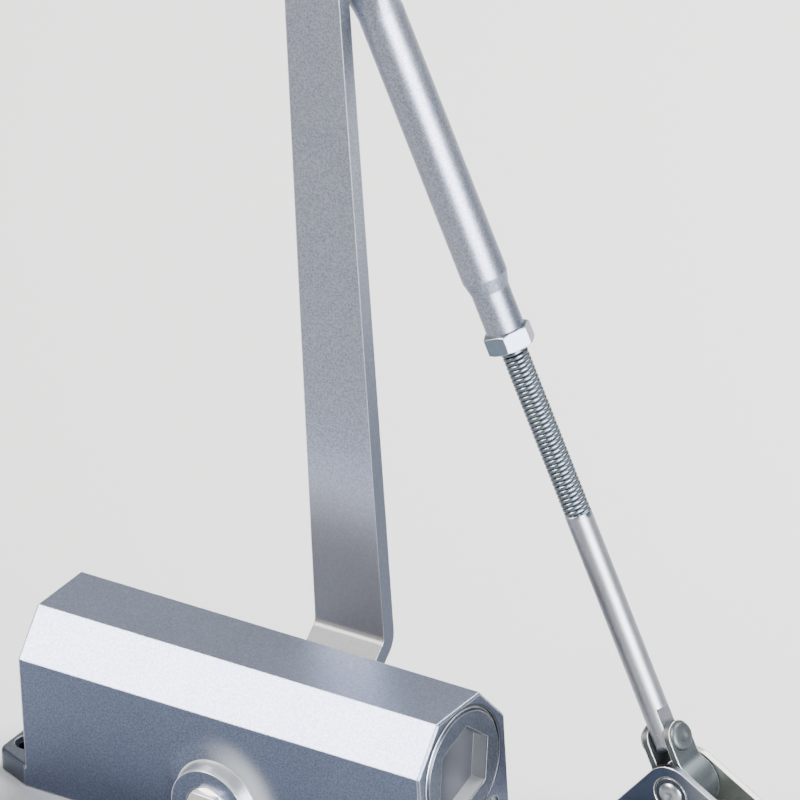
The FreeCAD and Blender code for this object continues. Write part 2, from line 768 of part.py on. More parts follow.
def make_main_arm():
    """Flat tapered arm, joggled towards the body, with a hexagon hole and a pin hole."""
    # Side view: the thickness runs down the arm and through the joggle
    side = free_sketch("ArmSide", "YZ", ("pinion_x", "0", "0"))
    drop = "arm_offset / tan(joggle_angle)"
    skew = "arm_thickness * tan(joggle_angle / 2)"
    foot = "pinion_height - 2 * arm_foot_radius"
    top = f"{ELBOW_HEIGHT} + 2 * arm_tip_radius"
    draw_polygon(side, [
        (ARM_FOOT, foot),
        (f"{ARM_FOOT} + arm_thickness", foot),
        (f"{ARM_FOOT} + arm_thickness", f"joggle_height - {drop} - {skew}"),
        (ARM_BACK, f"joggle_height - {skew}"),
        (ARM_BACK, top),
        (ARM_FACE, top),
        (ARM_FACE, "joggle_height"),
        (ARM_FOOT, f"joggle_height - {drop}"),
    ])
    strip = extrude("ArmStrip", side, "4 * arm_foot_radius")
    doc.recompute()

    # Bends: the hollow side of each has the inner radius, the other side that plus the thickness
    inner = number("joggle_radius")
    outer = inner + number("arm_thickness")
    hollow = [V(0, number(ARM_FACE), number("joggle_height")),
              V(0, number(f"{ARM_FOOT} + arm_thickness"), number(f"joggle_height - {drop} - {skew}"))]
    full_side = [V(0, number(ARM_BACK), number(f"joggle_height - {skew}")),
                 V(0, number(ARM_FOOT), number(f"joggle_height - {drop}"))]
    rounded = []
    for index, edge in enumerate(strip.Shape.Edges, 1):
        middle = edge.CenterOfMass
        flat = V(0, middle.y, middle.z)
        if any(flat.distanceToPoint(corner) < 0.01 for corner in hollow):
            rounded.append((index, inner, inner))
        if any(flat.distanceToPoint(corner) < 0.01 for corner in full_side):
            rounded.append((index, outer, outer))
    bent = doc.addObject("Part::Fillet", "ArmBends")
    bent.Base = strip
    bent.Edges = rounded

    # Front view: round ends about the pinion and the elbow, joined by straight sides
    front = free_sketch("ArmFront", "XZ")
    draw_link(front, ("pinion_x", "pinion_height"), "arm_foot_radius",
              ("pinion_x", ELBOW_HEIGHT), "arm_tip_radius")
    blank = common("ArmBlank", [bent, extrude("ArmOutline", front, f"3 * {ARM_BACK}")])
    holes = [
        spindle_hexagon("ArmHexagon", f"{ARM_FOOT} - arm_thickness",
                        Circumradius="hexagon_flats / 2 / cos(30)", Height="3 * arm_thickness"),
        primitive("Cylinder", "ArmElbowHole", ("pinion_x", f"{ARM_FACE} - arm_thickness", ELBOW_HEIGHT), "Y",
                  Radius="elbow_pin_radius + running_gap", Height="3 * arm_thickness"),
    ]
    return label(cut("MainArm", blank, holes), "main_arm")


def make_arm_washer():
    """Washer between the arm and its screw."""
    base = ("pinion_x", f"{ARM_FOOT} + arm_thickness", "pinion_height")
    return label(ring("ArmWasher", "Y", base, "arm_washer_radius", "arm_screw_radius + running_gap",
                      "arm_washer_thickness"), "arm_washer")


def make_arm_screw():
    """Cap screw in the end of the pinion."""
    seat = f"{ARM_FOOT} + arm_thickness + arm_washer_thickness"
    bottom = f"{ARM_FOOT} + arm_thickness - arm_screw_depth + seat_gap"
    shank = primitive("Cylinder", "ArmScrewShank", ("pinion_x", bottom, "pinion_height"), "Y",
                      Radius="arm_screw_radius", Height=f"{seat} - ({bottom})")
    head = primitive("Cylinder", "ArmScrewHead", ("pinion_x", seat, "pinion_height"), "Y",
                     Radius="arm_screw_head_radius", Height="arm_screw_head")
    socket = primitive("Prism", "ArmScrewSocket", ("pinion_x", f"{seat} + arm_screw_head / 2", "pinion_height"),
                       "Y", Circumradius="arm_screw_socket / 2 / cos(30)", Height="arm_screw_head")
    return label(cut("ArmScrew", fuse("ArmScrewBlank", [shank, head]), [socket]), "arm_screw")


def make_elbow_pin():
    """Riveted pin that carries the forearm on the arm."""
    back_head = f"{TONGUE_FACE} + tongue_thickness + seat_gap"
    shank = primitive("Cylinder", "ElbowShank", ("pinion_x", ARM_FACE, ELBOW_HEIGHT), "Y",
                      Radius="elbow_pin_radius", Height=f"{back_head} - {ARM_FACE}")
    near = primitive("Cylinder", "ElbowNearHead", ("pinion_x", f"{ARM_FACE} - elbow_head", ELBOW_HEIGHT), "Y",
                     Radius="elbow_head_radius", Height="elbow_head")
    far = primitive("Cylinder", "ElbowFarHead", ("pinion_x", back_head, ELBOW_HEIGHT), "Y",
                    Radius="elbow_head_radius", Height="elbow_head")
    return label(fuse("ElbowPin", [shank, near, far]), "elbow_pin")


def make_elbow_washer():
    """Washer between the arm and the forearm."""
    return label(ring("ElbowWasher", "Y", ("pinion_x", ARM_BACK, ELBOW_HEIGHT), "elbow_washer_radius",
                      "elbow_pin_radius + running_gap", "elbow_washer_thickness"), "elbow_washer")


def make_pressed_length():
    """The length of the forearm tube that is pressed from round to flat."""
    flat_half = number("tongue_radius")
    edge = number("tongue_thickness / 2")
    middle = number(f"{TONGUE_FACE} + tongue_thickness / 2")
    start = number("tongue_length")
    end = number("tongue_length + pressed_length")
    radius = number("tube_radius")
    centre = number(FOREARM_Y)
    inner = flat_half - edge

    def corner(side, level):
        return V(side * inner, middle + level * edge, start)

    flat = [
        Part.LineSegment(corner(-1, -1), corner(1, -1)).toShape(),
        Part.Arc(corner(1, -1), V(flat_half, middle, start), corner(1, 1)).toShape(),
        Part.LineSegment(corner(1, 1), corner(-1, 1)).toShape(),
        Part.Arc(corner(-1, 1), V(-flat_half, middle, start), corner(-1, -1)).toShape(),
    ]

    def on_tube(degrees):
        angle = math.radians(degrees)
        return V(radius * math.cos(angle), centre + radius * math.sin(angle), end)

    starts = (-135, -45, 45, 135)
    tube = [Part.Arc(on_tube(angle), on_tube(angle + 45), on_tube(angle + 90)).toShape() for angle in starts]
    pressed = doc.addObject("Part::Feature", "ForearmPressed")
    pressed.Shape = Part.makeLoft([Part.Wire(flat), Part.Wire(tube)], True)
    return pressed


def make_forearm_tube():
    """Tube with a flat eye at the elbow and a swaged, threaded neck, drawn along Z from the elbow."""
    eye_sketch = free_sketch("ForearmEyeOutline", "XZ", ("0", f"{TONGUE_FACE} + tongue_thickness / 2", "0"))
    draw_link(eye_sketch, ("0", "0"), "tongue_radius", ("0", "tongue_length"), "tongue_radius")
    eye = extrude("ForearmEye", eye_sketch, "tongue_thickness")

    half_space = primitive("Box", "ForearmEyeRoom", ("-2 * tongue_radius", "0", "-2 * tongue_radius"),
                           Length="4 * tongue_radius", Width=f"2 * {FOREARM_Y}",
                           Height="2 * tongue_radius + tongue_length")
    flat_eye = common("ForearmFlatEye", [eye, half_space])

    profile = free_sketch("ForearmProfile", "XZ", ("0", FOREARM_Y, "0"))
    tube_start = "tongue_length + pressed_length"
    neck_start = "tube_length - neck_length"
    bore = "tube_radius - tube_wall"
    thread = "rod_radius + running_gap"
    draw_polygon(profile, [
        ("0", tube_start),
        ("tube_radius", tube_start),
        ("tube_radius", f"{neck_start} - swage_length"),
        ("neck_radius", neck_start),
        ("neck_radius", "tube_length"),
        (thread, "tube_length"),
        (thread, neck_start),
        (bore, f"{neck_start} - swage_length"),
        (bore, f"{tube_start} + 2 * tube_wall"),
        ("0", f"{tube_start} + 2 * tube_wall"),
    ])
    tube = doc.addObject("Part::Revolution", "ForearmRound")
    tube.Source = profile
    tube.Axis = V(0, 0, 1)
    tube.Angle = 360
    tube.Solid = True
    bind(tube, "Base.y", FOREARM_Y)
    hole = primitive("Cylinder", "ForearmPinHole", ("0", "0", "0"), "Y",
                     Radius="elbow_pin_radius + running_gap", Height=f"2 * {FOREARM_Y}")
    blank = fuse("ForearmBlank", [flat_eye, make_pressed_length(), tube])
    forearm = cut("ForearmTube", blank, [hole])
    hang(forearm)
    return label(forearm, "forearm_tube")


def make_lock_nut():
    """Hexagon nut against the tube's mouth, with its corners turned down on both faces."""
    base = ("0", FOREARM_Y, "tube_length")
    block = primitive("Prism", "NutHexagon", base, Circumradius="nut_flats / 2 / cos(30)", Height="nut_thickness")
    profile = free_sketch("NutProfile", "XZ", base)
    corner = "nut_flats / 2 / cos(30)"
    draw_polygon(profile, [
        ("rod_radius + running_gap", "0"),
        (f"{corner} - nut_chamfer", "0"),
        (corner, "nut_chamfer / 2"),
        (corner, "nut_thickness - nut_chamfer / 2"),
        (f"{corner} - nut_chamfer", "nut_thickness"),
        ("rod_radius + running_gap", "nut_thickness"),
    ])
    turned = doc.addObject("Part::Revolution", "NutTurned")
    turned.Source = profile
    turned.Axis = V(0, 0, 1)
    turned.Angle = 360
    turned.Solid = True
    bind(turned, "Base.y", FOREARM_Y)
    nut = common("LockNut", [block, turned])
    hang(nut)
    return label(nut, "lock_nut")


def make_adjusting_rod():
    """Rod with two flats and a round end at its foot, where the rivet passes."""
    start = "(tube_length - rod_inner_length)"
    shaft = primitive("Cylinder", "RodRound", ("0", FOREARM_Y, start), Radius="rod_radius",
                      Height=f"{RIVET_PLACE} + rod_radius - {start}")
    outline = free_sketch("RodOutline", "YZ")
    draw_link(outline, (FOREARM_Y, start), "rod_radius", (FOREARM_Y, RIVET_PLACE), "rod_radius")
    round_end = common("RodRoundEnd", [shaft, extrude("RodEnds", outline, "4 * rod_radius")])
    flats = []
    for index, side in enumerate(("rod_tongue_thickness / 2", "-rod_tongue_thickness / 2 - rod_radius")):
        base = (side, f"{FOREARM_Y} - 2 * rod_radius", f"{RIVET_PLACE} - rod_tongue_length")
        flats.append(primitive("Box", f"RodFlat{index}", base, Length="rod_radius", Width="4 * rod_radius",
                               Height="3 * rod_tongue_length"))
    hole = primitive("Cylinder", "RodRivetHole", ("-2 * rod_radius", FOREARM_Y, RIVET_PLACE), "X",
                     Radius="rivet_radius + running_gap", Height="4 * rod_radius")
    rod = cut("AdjustingRod", round_end, flats + [hole])
    hang(rod)
    return label(rod, "adjusting_rod")


def make_knuckle():
    """Yoke: two ears at the rivet and a round foot about the shoe's pin, with hollow bends between them."""
    half = "knuckle_breadth / 2"
    near = f"{FOREARM_Y} - knuckle_width"
    ears_start = f"{RIVET_PLACE} - 2 * knuckle_ear_radius"
    foot = primitive("Cylinder", "KnuckleFoot", ("0", near, FOREARM_LENGTH), "Y",
                     Radius="knuckle_foot_radius", Height="2 * knuckle_width")
    slab = primitive("Box", "KnuckleEarSlab", (f"-{half}", near, ears_start), Length="knuckle_breadth",
                     Width="2 * knuckle_width", Height="2 * knuckle_ear_radius + knuckle_reach")
    joined = fuse("KnuckleJoined", [foot, slab])
    doc.recompute()

    # Bends between the ears' outer faces and the foot
    side = number(half)
    foot_place = number(FOREARM_LENGTH)
    reach = number("knuckle_foot_radius")
    bends = []
    for index, edge in enumerate(joined.Shape.Edges, 1):
        box = edge.BoundBox
        straight = box.XLength < 0.01 and box.ZLength < 0.01
        if straight and abs(abs(box.XMin) - side) < 0.01 and foot_place - reach < box.ZMin < foot_place:
            bends.append((index, number("knuckle_bend"), number("knuckle_bend")))
    bent = doc.addObject("Part::Fillet", "KnuckleBends")
    bent.Base = joined
    bent.Edges = bends

    # Round tops of the ears, the rod's slot and the two holes
    outline = free_sketch("KnuckleOutline", "YZ")
    draw_link(outline, (FOREARM_Y, RIVET_PLACE), "knuckle_ear_radius",
              (FOREARM_Y, f"{FOREARM_LENGTH} + 2 * knuckle_foot_radius"), "knuckle_width / 2")
    blank = common("KnuckleBlank", [bent, extrude("KnuckleSide", outline, "4 * knuckle_foot_radius")])
    slot_half = "(knuckle_breadth / 2 - knuckle_ear)"
    slot = primitive("Box", "KnuckleSlot", (f"-{slot_half}", near, ears_start), Length=f"2 * {slot_half}",
                     Width="2 * knuckle_width", Height="2 * knuckle_ear_radius + rod_radius + knuckle_room")
    rivet_hole = primitive("Cylinder", "KnuckleRivetHole", ("-knuckle_breadth", FOREARM_Y, RIVET_PLACE), "X",
                           Radius="rivet_radius + running_gap", Height="2 * knuckle_breadth")
    pin_hole = primitive("Cylinder", "KnucklePinHole", ("0", near, FOREARM_LENGTH), "Y",
                         Radius="shoe_pin_radius + running_gap", Height="2 * knuckle_width")
    knuckle = cut("Knuckle", blank, [slot, rivet_hole, pin_hole])
    hang(knuckle)
    return label(knuckle, "knuckle")


def make_knuckle_rivet():
    """Rivet with a dimpled flat head on each side."""
    half = "knuckle_breadth / 2"
    shank = primitive("Cylinder", "RivetShank", (f"-{half}", FOREARM_Y, RIVET_PLACE), "X",
                      Radius="rivet_radius", Height=f"2 * {half}")
    heads = [
        primitive("Cylinder", "RivetLeftHead", (f"-{half} - rivet_head", FOREARM_Y, RIVET_PLACE), "X",
                  Radius="rivet_head_radius", Height="rivet_head"),
        primitive("Cylinder", "RivetRightHead", (half, FOREARM_Y, RIVET_PLACE), "X",
                  Radius="rivet_head_radius", Height="rivet_head"),
    ]
    dimples = [
        primitive("Cylinder", "RivetLeftDimple", (f"-{half} - rivet_head", FOREARM_Y, RIVET_PLACE), "X",
                  Radius="rivet_dimple_radius", Height="rivet_dimple"),
        primitive("Cylinder", "RivetRightDimple", (f"{half} + rivet_head - rivet_dimple", FOREARM_Y, RIVET_PLACE),
                  "X", Radius="rivet_dimple_radius", Height="rivet_dimple"),
    ]
    rivet = cut("KnuckleRivet", fuse("RivetBlank", [shank] + heads), dimples)
    hang(rivet)
    return label(rivet, "knuckle_rivet")


def make_shoe_bracket():
    """Bent U bracket: two sides with a round top about the pin, and a base with a window and two screw holes."""
    body = doc.addObject("PartDesign::Body", "ShoeBracket")
    outline = body_sketch(body, "ShoeOutline", "XZ")
    rise = "(shoe_pin_height - shoe_thickness"
    left = (f"-shoe_top_radius * sin(shoe_left_slope) - {rise} + shoe_top_radius * cos(shoe_left_slope))"
            " / tan(shoe_left_slope)")
    right = (f"shoe_top_radius * sin(shoe_right_slope) + {rise} + shoe_top_radius * cos(shoe_right_slope))"
             " / tan(shoe_right_slope)")
    reach = "shoe_top_radius / cos((shoe_left_slope + shoe_right_slope) / 2)"
    lean = "(shoe_right_slope - shoe_left_slope) / 2"
    draw_polygon(outline, [
        (left, "0"),
        (right, "0"),
        (right, "shoe_thickness"),
        (f"{reach} * sin({lean})", f"shoe_pin_height + {reach} * cos({lean})"),
        (left, "shoe_thickness"),
    ])
    slab = add(body, "Pad", "ShoeSlab", outline, Length=f"2 * {SHOE_OUTER}")
    slab.Midplane = True
    doc.recompute()
    apex = number(f"shoe_pin_height + {reach} * cos({lean})")

    def on_apex(edge):
        return abs(edge.BoundBox.ZMin - apex) < 0.01 and edge.BoundBox.YLength > 1

    rounded = dress(body, "Fillet", "ShoeTop", slab, on_apex, "Radius", "shoe_top_radius")

    def on_bend(edge):
        box = edge.BoundBox
        return box.ZMax < 0.01 and box.YLength < 0.01

    dress(body, "Fillet", "ShoeBends", rounded, on_bend, "Radius", "shoe_bend")
    channel = body_sketch(body, "ShoeChannelOutline", "XZ")
    draw_polygon(channel, [
        (f"2 * ({left})", "shoe_thickness"),
        (f"2 * ({right})", "shoe_thickness"),
        (f"2 * ({right})", "4 * shoe_top_radius"),
        (f"2 * ({left})", "4 * shoe_top_radius"),
    ])
    remove(body, "Pocket", "ShoeChannel", channel, both_ways=True, Length=f"2 * {SHOE_INNER}")
    pin_hole = body_sketch(body, "ShoePinOutline", "XZ")
    draw_circle(pin_hole, ("0", "shoe_pin_height"), "shoe_pin_radius + running_gap")
    remove(body, "Pocket", "ShoePinHole", pin_hole, both_ways=True, Length=f"4 * {SHOE_OUTER}")

    # Recess for the washer in the near side, window for the knuckle's foot, and the screw holes
    sink = body_sketch(body, "ShoeSinkOutline", "XZ", ("0", "0", SHOE_OUTER))
    draw_circle(sink, ("0", "shoe_pin_height"), "shoe_sink_radius")
    remove(body, "Pocket", "ShoeSink", sink, both_ways=True, Length="2 * shoe_sink")
    window = body_sketch(body, "ShoeWindowOutline", "XY", ("0", "0", "shoe_thickness"))
    window_half = "(knuckle_foot_radius + shoe_window_room)"
    draw_polygon(window, [
        (f"-{window_half}", f"-{SHOE_INNER}"),
        (window_half, f"-{SHOE_INNER}"),
        (window_half, SHOE_INNER),
        (f"-{window_half}", SHOE_INNER),
    ])
    remove(body, "Pocket", "ShoeWindow", window, Length="2 * shoe_thickness")
    screws = body_sketch(body, "ShoeScrewPlaces", "XY", ("0", "0", "shoe_thickness"))
    for side in ("-", ""):
        draw_circle(screws, (f"shoe_screw_offset + {side}shoe_screw_spacing / 2", "0"), "shoe_screw_hole / 2")
    remove(body, "Pocket", "ShoeScrewHoles", screws, Length="2 * shoe_thickness")
    place(body, (SHOE_PIN_X, FOREARM_Y, "0"))
    return label(body, "shoe_bracket")


def make_shoe_washer():
    """Washer between the bracket's near side and the pin's head."""
    base = (SHOE_PIN_X, f"{FOREARM_Y} - {SHOE_OUTER} + shoe_sink - shoe_washer_thickness", "shoe_pin_height")
    return label(ring("ShoeWasher", "Y", base, "shoe_washer_radius", "shoe_pin_radius + running_gap",
                      "shoe_washer_thickness"), "shoe_washer")


def make_shoe_pin():
    """Pivot pin with a socket head on the near side and a peened end on the far side."""
    seat = f"{FOREARM_Y} - {SHOE_OUTER} + shoe_sink - shoe_washer_thickness"
    far = f"{FOREARM_Y} + {SHOE_OUTER}"
    shank = primitive("Cylinder", "ShoePinShank", (SHOE_PIN_X, seat, "shoe_pin_height"), "Y",
                      Radius="shoe_pin_radius", Height=f"2 * {SHOE_OUTER} - shoe_sink + shoe_washer_thickness")
    head = primitive("Cylinder", "ShoePinHead", (SHOE_PIN_X, f"{seat} - shoe_pin_head", "shoe_pin_height"), "Y",
                     Radius="shoe_pin_head_radius", Height="shoe_pin_head")
    end = primitive("Cylinder", "ShoePinEnd", (SHOE_PIN_X, far, "shoe_pin_height"), "Y",
                    Radius="shoe_pin_head_radius", Height="shoe_pin_end")
    socket = primitive("Prism", "ShoePinSocket",
                       (SHOE_PIN_X, f"{seat} - 3 * shoe_pin_head / 2", "shoe_pin_height"), "Y",
                       Circumradius="shoe_pin_socket / 2 / cos(30)", Height="shoe_pin_head")
    return label(cut("ShoePin", fuse("ShoePinBlank", [shank, head, end]), [socket]), "shoe_pin")


def make_piston():
    """Piston with a full head at each end and the rack under its middle."""
    body = doc.addObject("PartDesign::Body", "Piston")
    profile = body_sketch(body, "PistonProfile", "XZ", ("0", "bore_height", "0"))
    seal_start = f"{PISTON_LEFT} + left_head / 2"
    seal_end = f"{seal_start} + piston_seal_width + groove_room / 2"
    seal_floor = f"{PISTON_RADIUS} - piston_seal_height - running_gap"
    seat = f"{RACK_END} + spring_seat"
    cage_start = f"{seat} - ball_cage_length - ball_cage_inset"
    draw_polygon(profile, [
        (PISTON_LEFT, "oil_passage"),
        (PISTON_LEFT, PISTON_RADIUS),
        (seal_start, PISTON_RADIUS),
        (seal_start, seal_floor),
        (seal_end, seal_floor),
        (seal_end, PISTON_RADIUS),
        (PISTON_RIGHT, PISTON_RADIUS),
        (PISTON_RIGHT, "spring_recess_radius"),
        (seat, "spring_recess_radius"),
        (seat, "ball_radius + running_gap"),
        (cage_start, "ball_radius + running_gap"),
        (cage_start, "oil_passage"),
    ])
    add(body, "Revolution", "PistonTurned", profile)

    # The underside between the heads: a rack strip over the teeth, flats beside it over the journals
    relief = body_sketch(body, "PistonRelief", "YZ", ("0", "0", RACK_START))
    strip = "(tooth_width / 2 - running_gap * 4)"
    tips = f"{PITCH_LINE} - rack_addendum"
    draw_polygon(relief, [
        ("-bore_radius", "0"),
        ("bore_radius", "0"),
        ("bore_radius", PITCH_LINE),
        (strip, PITCH_LINE),
        (strip, tips),
        (f"-{strip}", tips),
        (f"-{strip}", PITCH_LINE),
        ("-bore_radius", PITCH_LINE),
    ])
    under = add(body, "Pocket", "PistonUnderside", relief, Length="rack_length")
    under.Reversed = True
    doc.recompute()

    # Rack: straight flanks, one gap straight above the pinion's upright tooth
    tan_flank = "tan(pressure_angle)"
    pitch = "(pi * tooth_module)"
    half_gap = f"({pitch} / 4 + backlash / 2)"
    gaps_left = math.floor(number(f"(pinion_x - {RACK_START}) / {pitch}")) - 1
    gaps_right = 1
    gap = body_sketch(body, "RackGap", "XZ")
    middle = f"(pinion_x - {gaps_left} * {pitch})"
    tip_half = f"({half_gap} + rack_addendum * {tan_flank})"
    root_half = f"({half_gap} - rack_dedendum * {tan_flank})"
    draw_polygon(gap, [
        (f"{middle} - {tip_half}", tips),
        (f"{middle} - {root_half}", f"{PITCH_LINE} + rack_dedendum"),
        (f"{middle} + {root_half}", f"{PITCH_LINE} + rack_dedendum"),
        (f"{middle} + {tip_half}", tips),
    ])
    first = remove(body, "Pocket", "RackFirstGap", gap, both_ways=True, Length="tooth_width + 4 * groove_room")
    row = body.newObject("PartDesign::LinearPattern", "RackGaps")
    row.Originals = [first]
    row.Direction = (gap, ["H_Axis"])
    row.Occurrences = gaps_left + gaps_right + 1
    bind(row, "Length", f"{gaps_left + gaps_right} * {pitch}")
    body.Tip = row
    doc.recompute()
    return label(body, "piston")


def make_piston_seal():
    """Plain ring in the groove of the left head."""
    base = (f"{PISTON_LEFT} + left_head / 2 + groove_room / 4", "0", "bore_height")
    return label(ring("PistonSeal", "X", base, f"{PISTON_RADIUS} + running_gap / 2",
                      f"{PISTON_RADIUS} - piston_seal_height", "piston_seal_width"), "piston_seal")


def make_check_ball():
    """Ball of the one-way valve, on its seat in the right head."""
    seat = f"{RACK_END} + spring_seat - ball_cage_length - ball_cage_inset"
    ball = primitive("Sphere", "CheckBall", (f"{seat} + ball_radius - running_gap * 4", "0", "bore_height"),
                     Radius="ball_radius")
    return label(ball, "check_ball")


def make_check_ball_retainer():
    """Pressed ring that keeps the ball in."""
    base = (f"{RACK_END} + spring_seat - ball_cage_inset", "0", "bore_height")
    return label(ring("CheckBallRetainer", "X", base, "ball_radius", "oil_passage", "ball_cage_inset"),
                 "check_ball_retainer")


def make_main_spring():
    """Coil spring from the piston's recess to the right plug."""
    wire = number("spring_wire_radius")
    start = number(f"{RACK_END} + spring_seat + spring_wire_radius + running_gap")
    height = number(f"{PLUG_SEAT} - spring_wire_radius - running_gap") - start
    turns = number("spring_turns")
    coil = number("spring_coil_radius")
    path = Part.makeHelix(height / turns, height, coil)
    section = Part.Wire(Part.Circle(V(coil, 0, 0), V(0, 1, 0), wire).toShape())
    spring = doc.addObject("Part::Feature", "MainSpring")
    spring.Shape = Part.Wire(path).makePipeShell([section], True, True)
    place(spring, (str(start), "0", "bore_height"), TURNS["X"])
    return label(spring, "main_spring")


SUB_PARTS = [
    make_housing(),
    make_end_plug("end_plug_right", 0),
    make_end_plug("end_plug_left", 180),
    make_plug_seal("plug_seal_right", 1),
    make_plug_seal("plug_seal_left", -1),
    make_bush("pinion_bearing_front", -1, SEAL_FLOOR),
    make_bush("pinion_bearing_rear", 1, GLAND_FLOOR),
    make_shaft_seal("pinion_seal_front", f"-{SEAL_FLOOR} + seat_gap"),
    make_shaft_seal("pinion_seal_rear", f"{GLAND_FLOOR} - seat_gap - shaft_seal_length"),
    make_gland_nut(),
    make_valve_screw("closing_valve_screw", 1),
    make_valve_screw("latching_valve_screw", -1),
    make_valve_seal("closing_valve_seal", 1),
    make_valve_seal("latching_valve_seal", -1),
    make_pinion_shaft(),
    make_main_arm(),
    make_arm_washer(),
    make_arm_screw(),
    make_elbow_pin(),
    make_elbow_washer(),
    make_forearm_tube(),
    make_lock_nut(),
    make_adjusting_rod(),
    make_knuckle(),
    make_knuckle_rivet(),
    make_shoe_bracket(),
    make_shoe_washer(),
    make_shoe_pin(),
    make_piston(),
    make_piston_seal(),
    make_check_ball(),
    make_check_ball_retainer(),
    make_main_spring(),
]
doc.recompute()

# Every object is whole before anything is written
for item in doc.Objects:
    if any(word in item.State for word in ("Invalid", "Error")):
        raise ValueError(f"{item.Name} failed: {item.State}")
for item in SUB_PARTS:
    if item.Shape.isNull() or not item.Shape.isValid() or not item.Shape.Solids:
        raise ValueError(f"{item.Label} has no sound shape")

os.makedirs("parts", exist_ok=True)
for item in SUB_PARTS:
    item.Shape.exportStep(f"parts/{item.Label}.step")
print(len(SUB_PARTS), "sub-parts written")
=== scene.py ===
import json
import math

import bpy
from mathutils import Matrix, Vector


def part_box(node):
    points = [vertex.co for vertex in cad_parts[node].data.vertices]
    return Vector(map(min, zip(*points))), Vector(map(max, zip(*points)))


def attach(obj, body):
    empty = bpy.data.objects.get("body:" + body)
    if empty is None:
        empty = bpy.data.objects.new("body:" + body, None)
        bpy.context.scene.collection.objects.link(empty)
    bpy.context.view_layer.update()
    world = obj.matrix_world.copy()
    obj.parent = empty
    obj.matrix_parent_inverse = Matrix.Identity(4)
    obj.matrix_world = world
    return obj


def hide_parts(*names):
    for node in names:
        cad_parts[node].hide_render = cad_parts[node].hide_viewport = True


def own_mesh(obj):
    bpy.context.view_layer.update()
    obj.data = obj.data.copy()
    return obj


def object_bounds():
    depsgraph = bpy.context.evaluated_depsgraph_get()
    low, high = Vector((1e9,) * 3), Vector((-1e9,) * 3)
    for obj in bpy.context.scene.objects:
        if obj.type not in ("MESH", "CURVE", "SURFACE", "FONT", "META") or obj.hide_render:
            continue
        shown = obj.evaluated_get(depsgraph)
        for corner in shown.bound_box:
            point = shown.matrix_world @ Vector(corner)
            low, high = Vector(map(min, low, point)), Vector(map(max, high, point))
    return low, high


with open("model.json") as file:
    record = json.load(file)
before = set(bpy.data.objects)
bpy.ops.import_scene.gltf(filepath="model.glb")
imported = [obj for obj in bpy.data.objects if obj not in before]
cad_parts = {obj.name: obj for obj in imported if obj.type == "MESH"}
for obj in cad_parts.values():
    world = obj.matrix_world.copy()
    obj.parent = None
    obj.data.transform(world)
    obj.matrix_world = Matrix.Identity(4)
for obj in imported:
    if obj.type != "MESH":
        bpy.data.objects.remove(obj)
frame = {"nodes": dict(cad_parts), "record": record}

cad_box = [list(corner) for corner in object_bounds()]


# Camera: far off with a long lens, because the picture shows almost no perspective.
# It looks down on the near side from the right, and leans a little to one side.
azimuth = math.radians(36.318)
elevation = math.radians(29.608)
lean = math.radians(-3.387)
pixels_per_metre = 3473.2
view_across = 0.03792
view_up = 0.11889
frame_pixels = 800
lens = 1500
sensor = 36
towards_camera = Vector((math.sin(azimuth) * math.cos(elevation), -math.cos(azimuth) * math.cos(elevation),
                         math.sin(elevation)))
level = Vector((math.cos(azimuth), math.sin(azimuth), 0))
upward = towards_camera.cross(level)
across = level * math.cos(lean) + upward * math.sin(lean)
up = upward * math.cos(lean) - level * math.sin(lean)
distance = lens / sensor * frame_pixels / pixels_per_metre
centre = across * view_across + up * view_up
bpy.ops.object.camera_add()
camera = bpy.context.object
camera.data.lens = lens
camera.data.sensor_width = sensor
camera.data.clip_end = 10 * distance
camera.matrix_world = Matrix.Translation(centre + towards_camera * distance) @ Matrix(
    (across, up, towards_camera)).transposed().to_4x4()
bpy.context.scene.camera = camera


# Studio: a pale matt floor, a pale room and five soft boxes. One box lights the bevelled back, one
# stands low at the right for the round bars, one behind for the top, and two hang overhead.
class Wire:
    """A value in a material. Sums written with it become Math nodes."""

    def __init__(self, finish, socket):
        self.finish = finish
        self.socket = socket

    def math(self, operation, first, second):
        return self.finish.node("ShaderNodeMath", {"operation": operation}, {0: first, 1: second})

    def __add__(self, other):
        return self.math("ADD", self, other)

    def __radd__(self, other):
        return self.math("ADD", other, self)

    def __sub__(self, other):
        return self.math("SUBTRACT", self, other)

    def __rsub__(self, other):
        return self.math("SUBTRACT", other, self)

    def __mul__(self, other):
        return self.math("MULTIPLY", self, other)

    def __rmul__(self, other):
        return self.math("MULTIPLY", other, self)


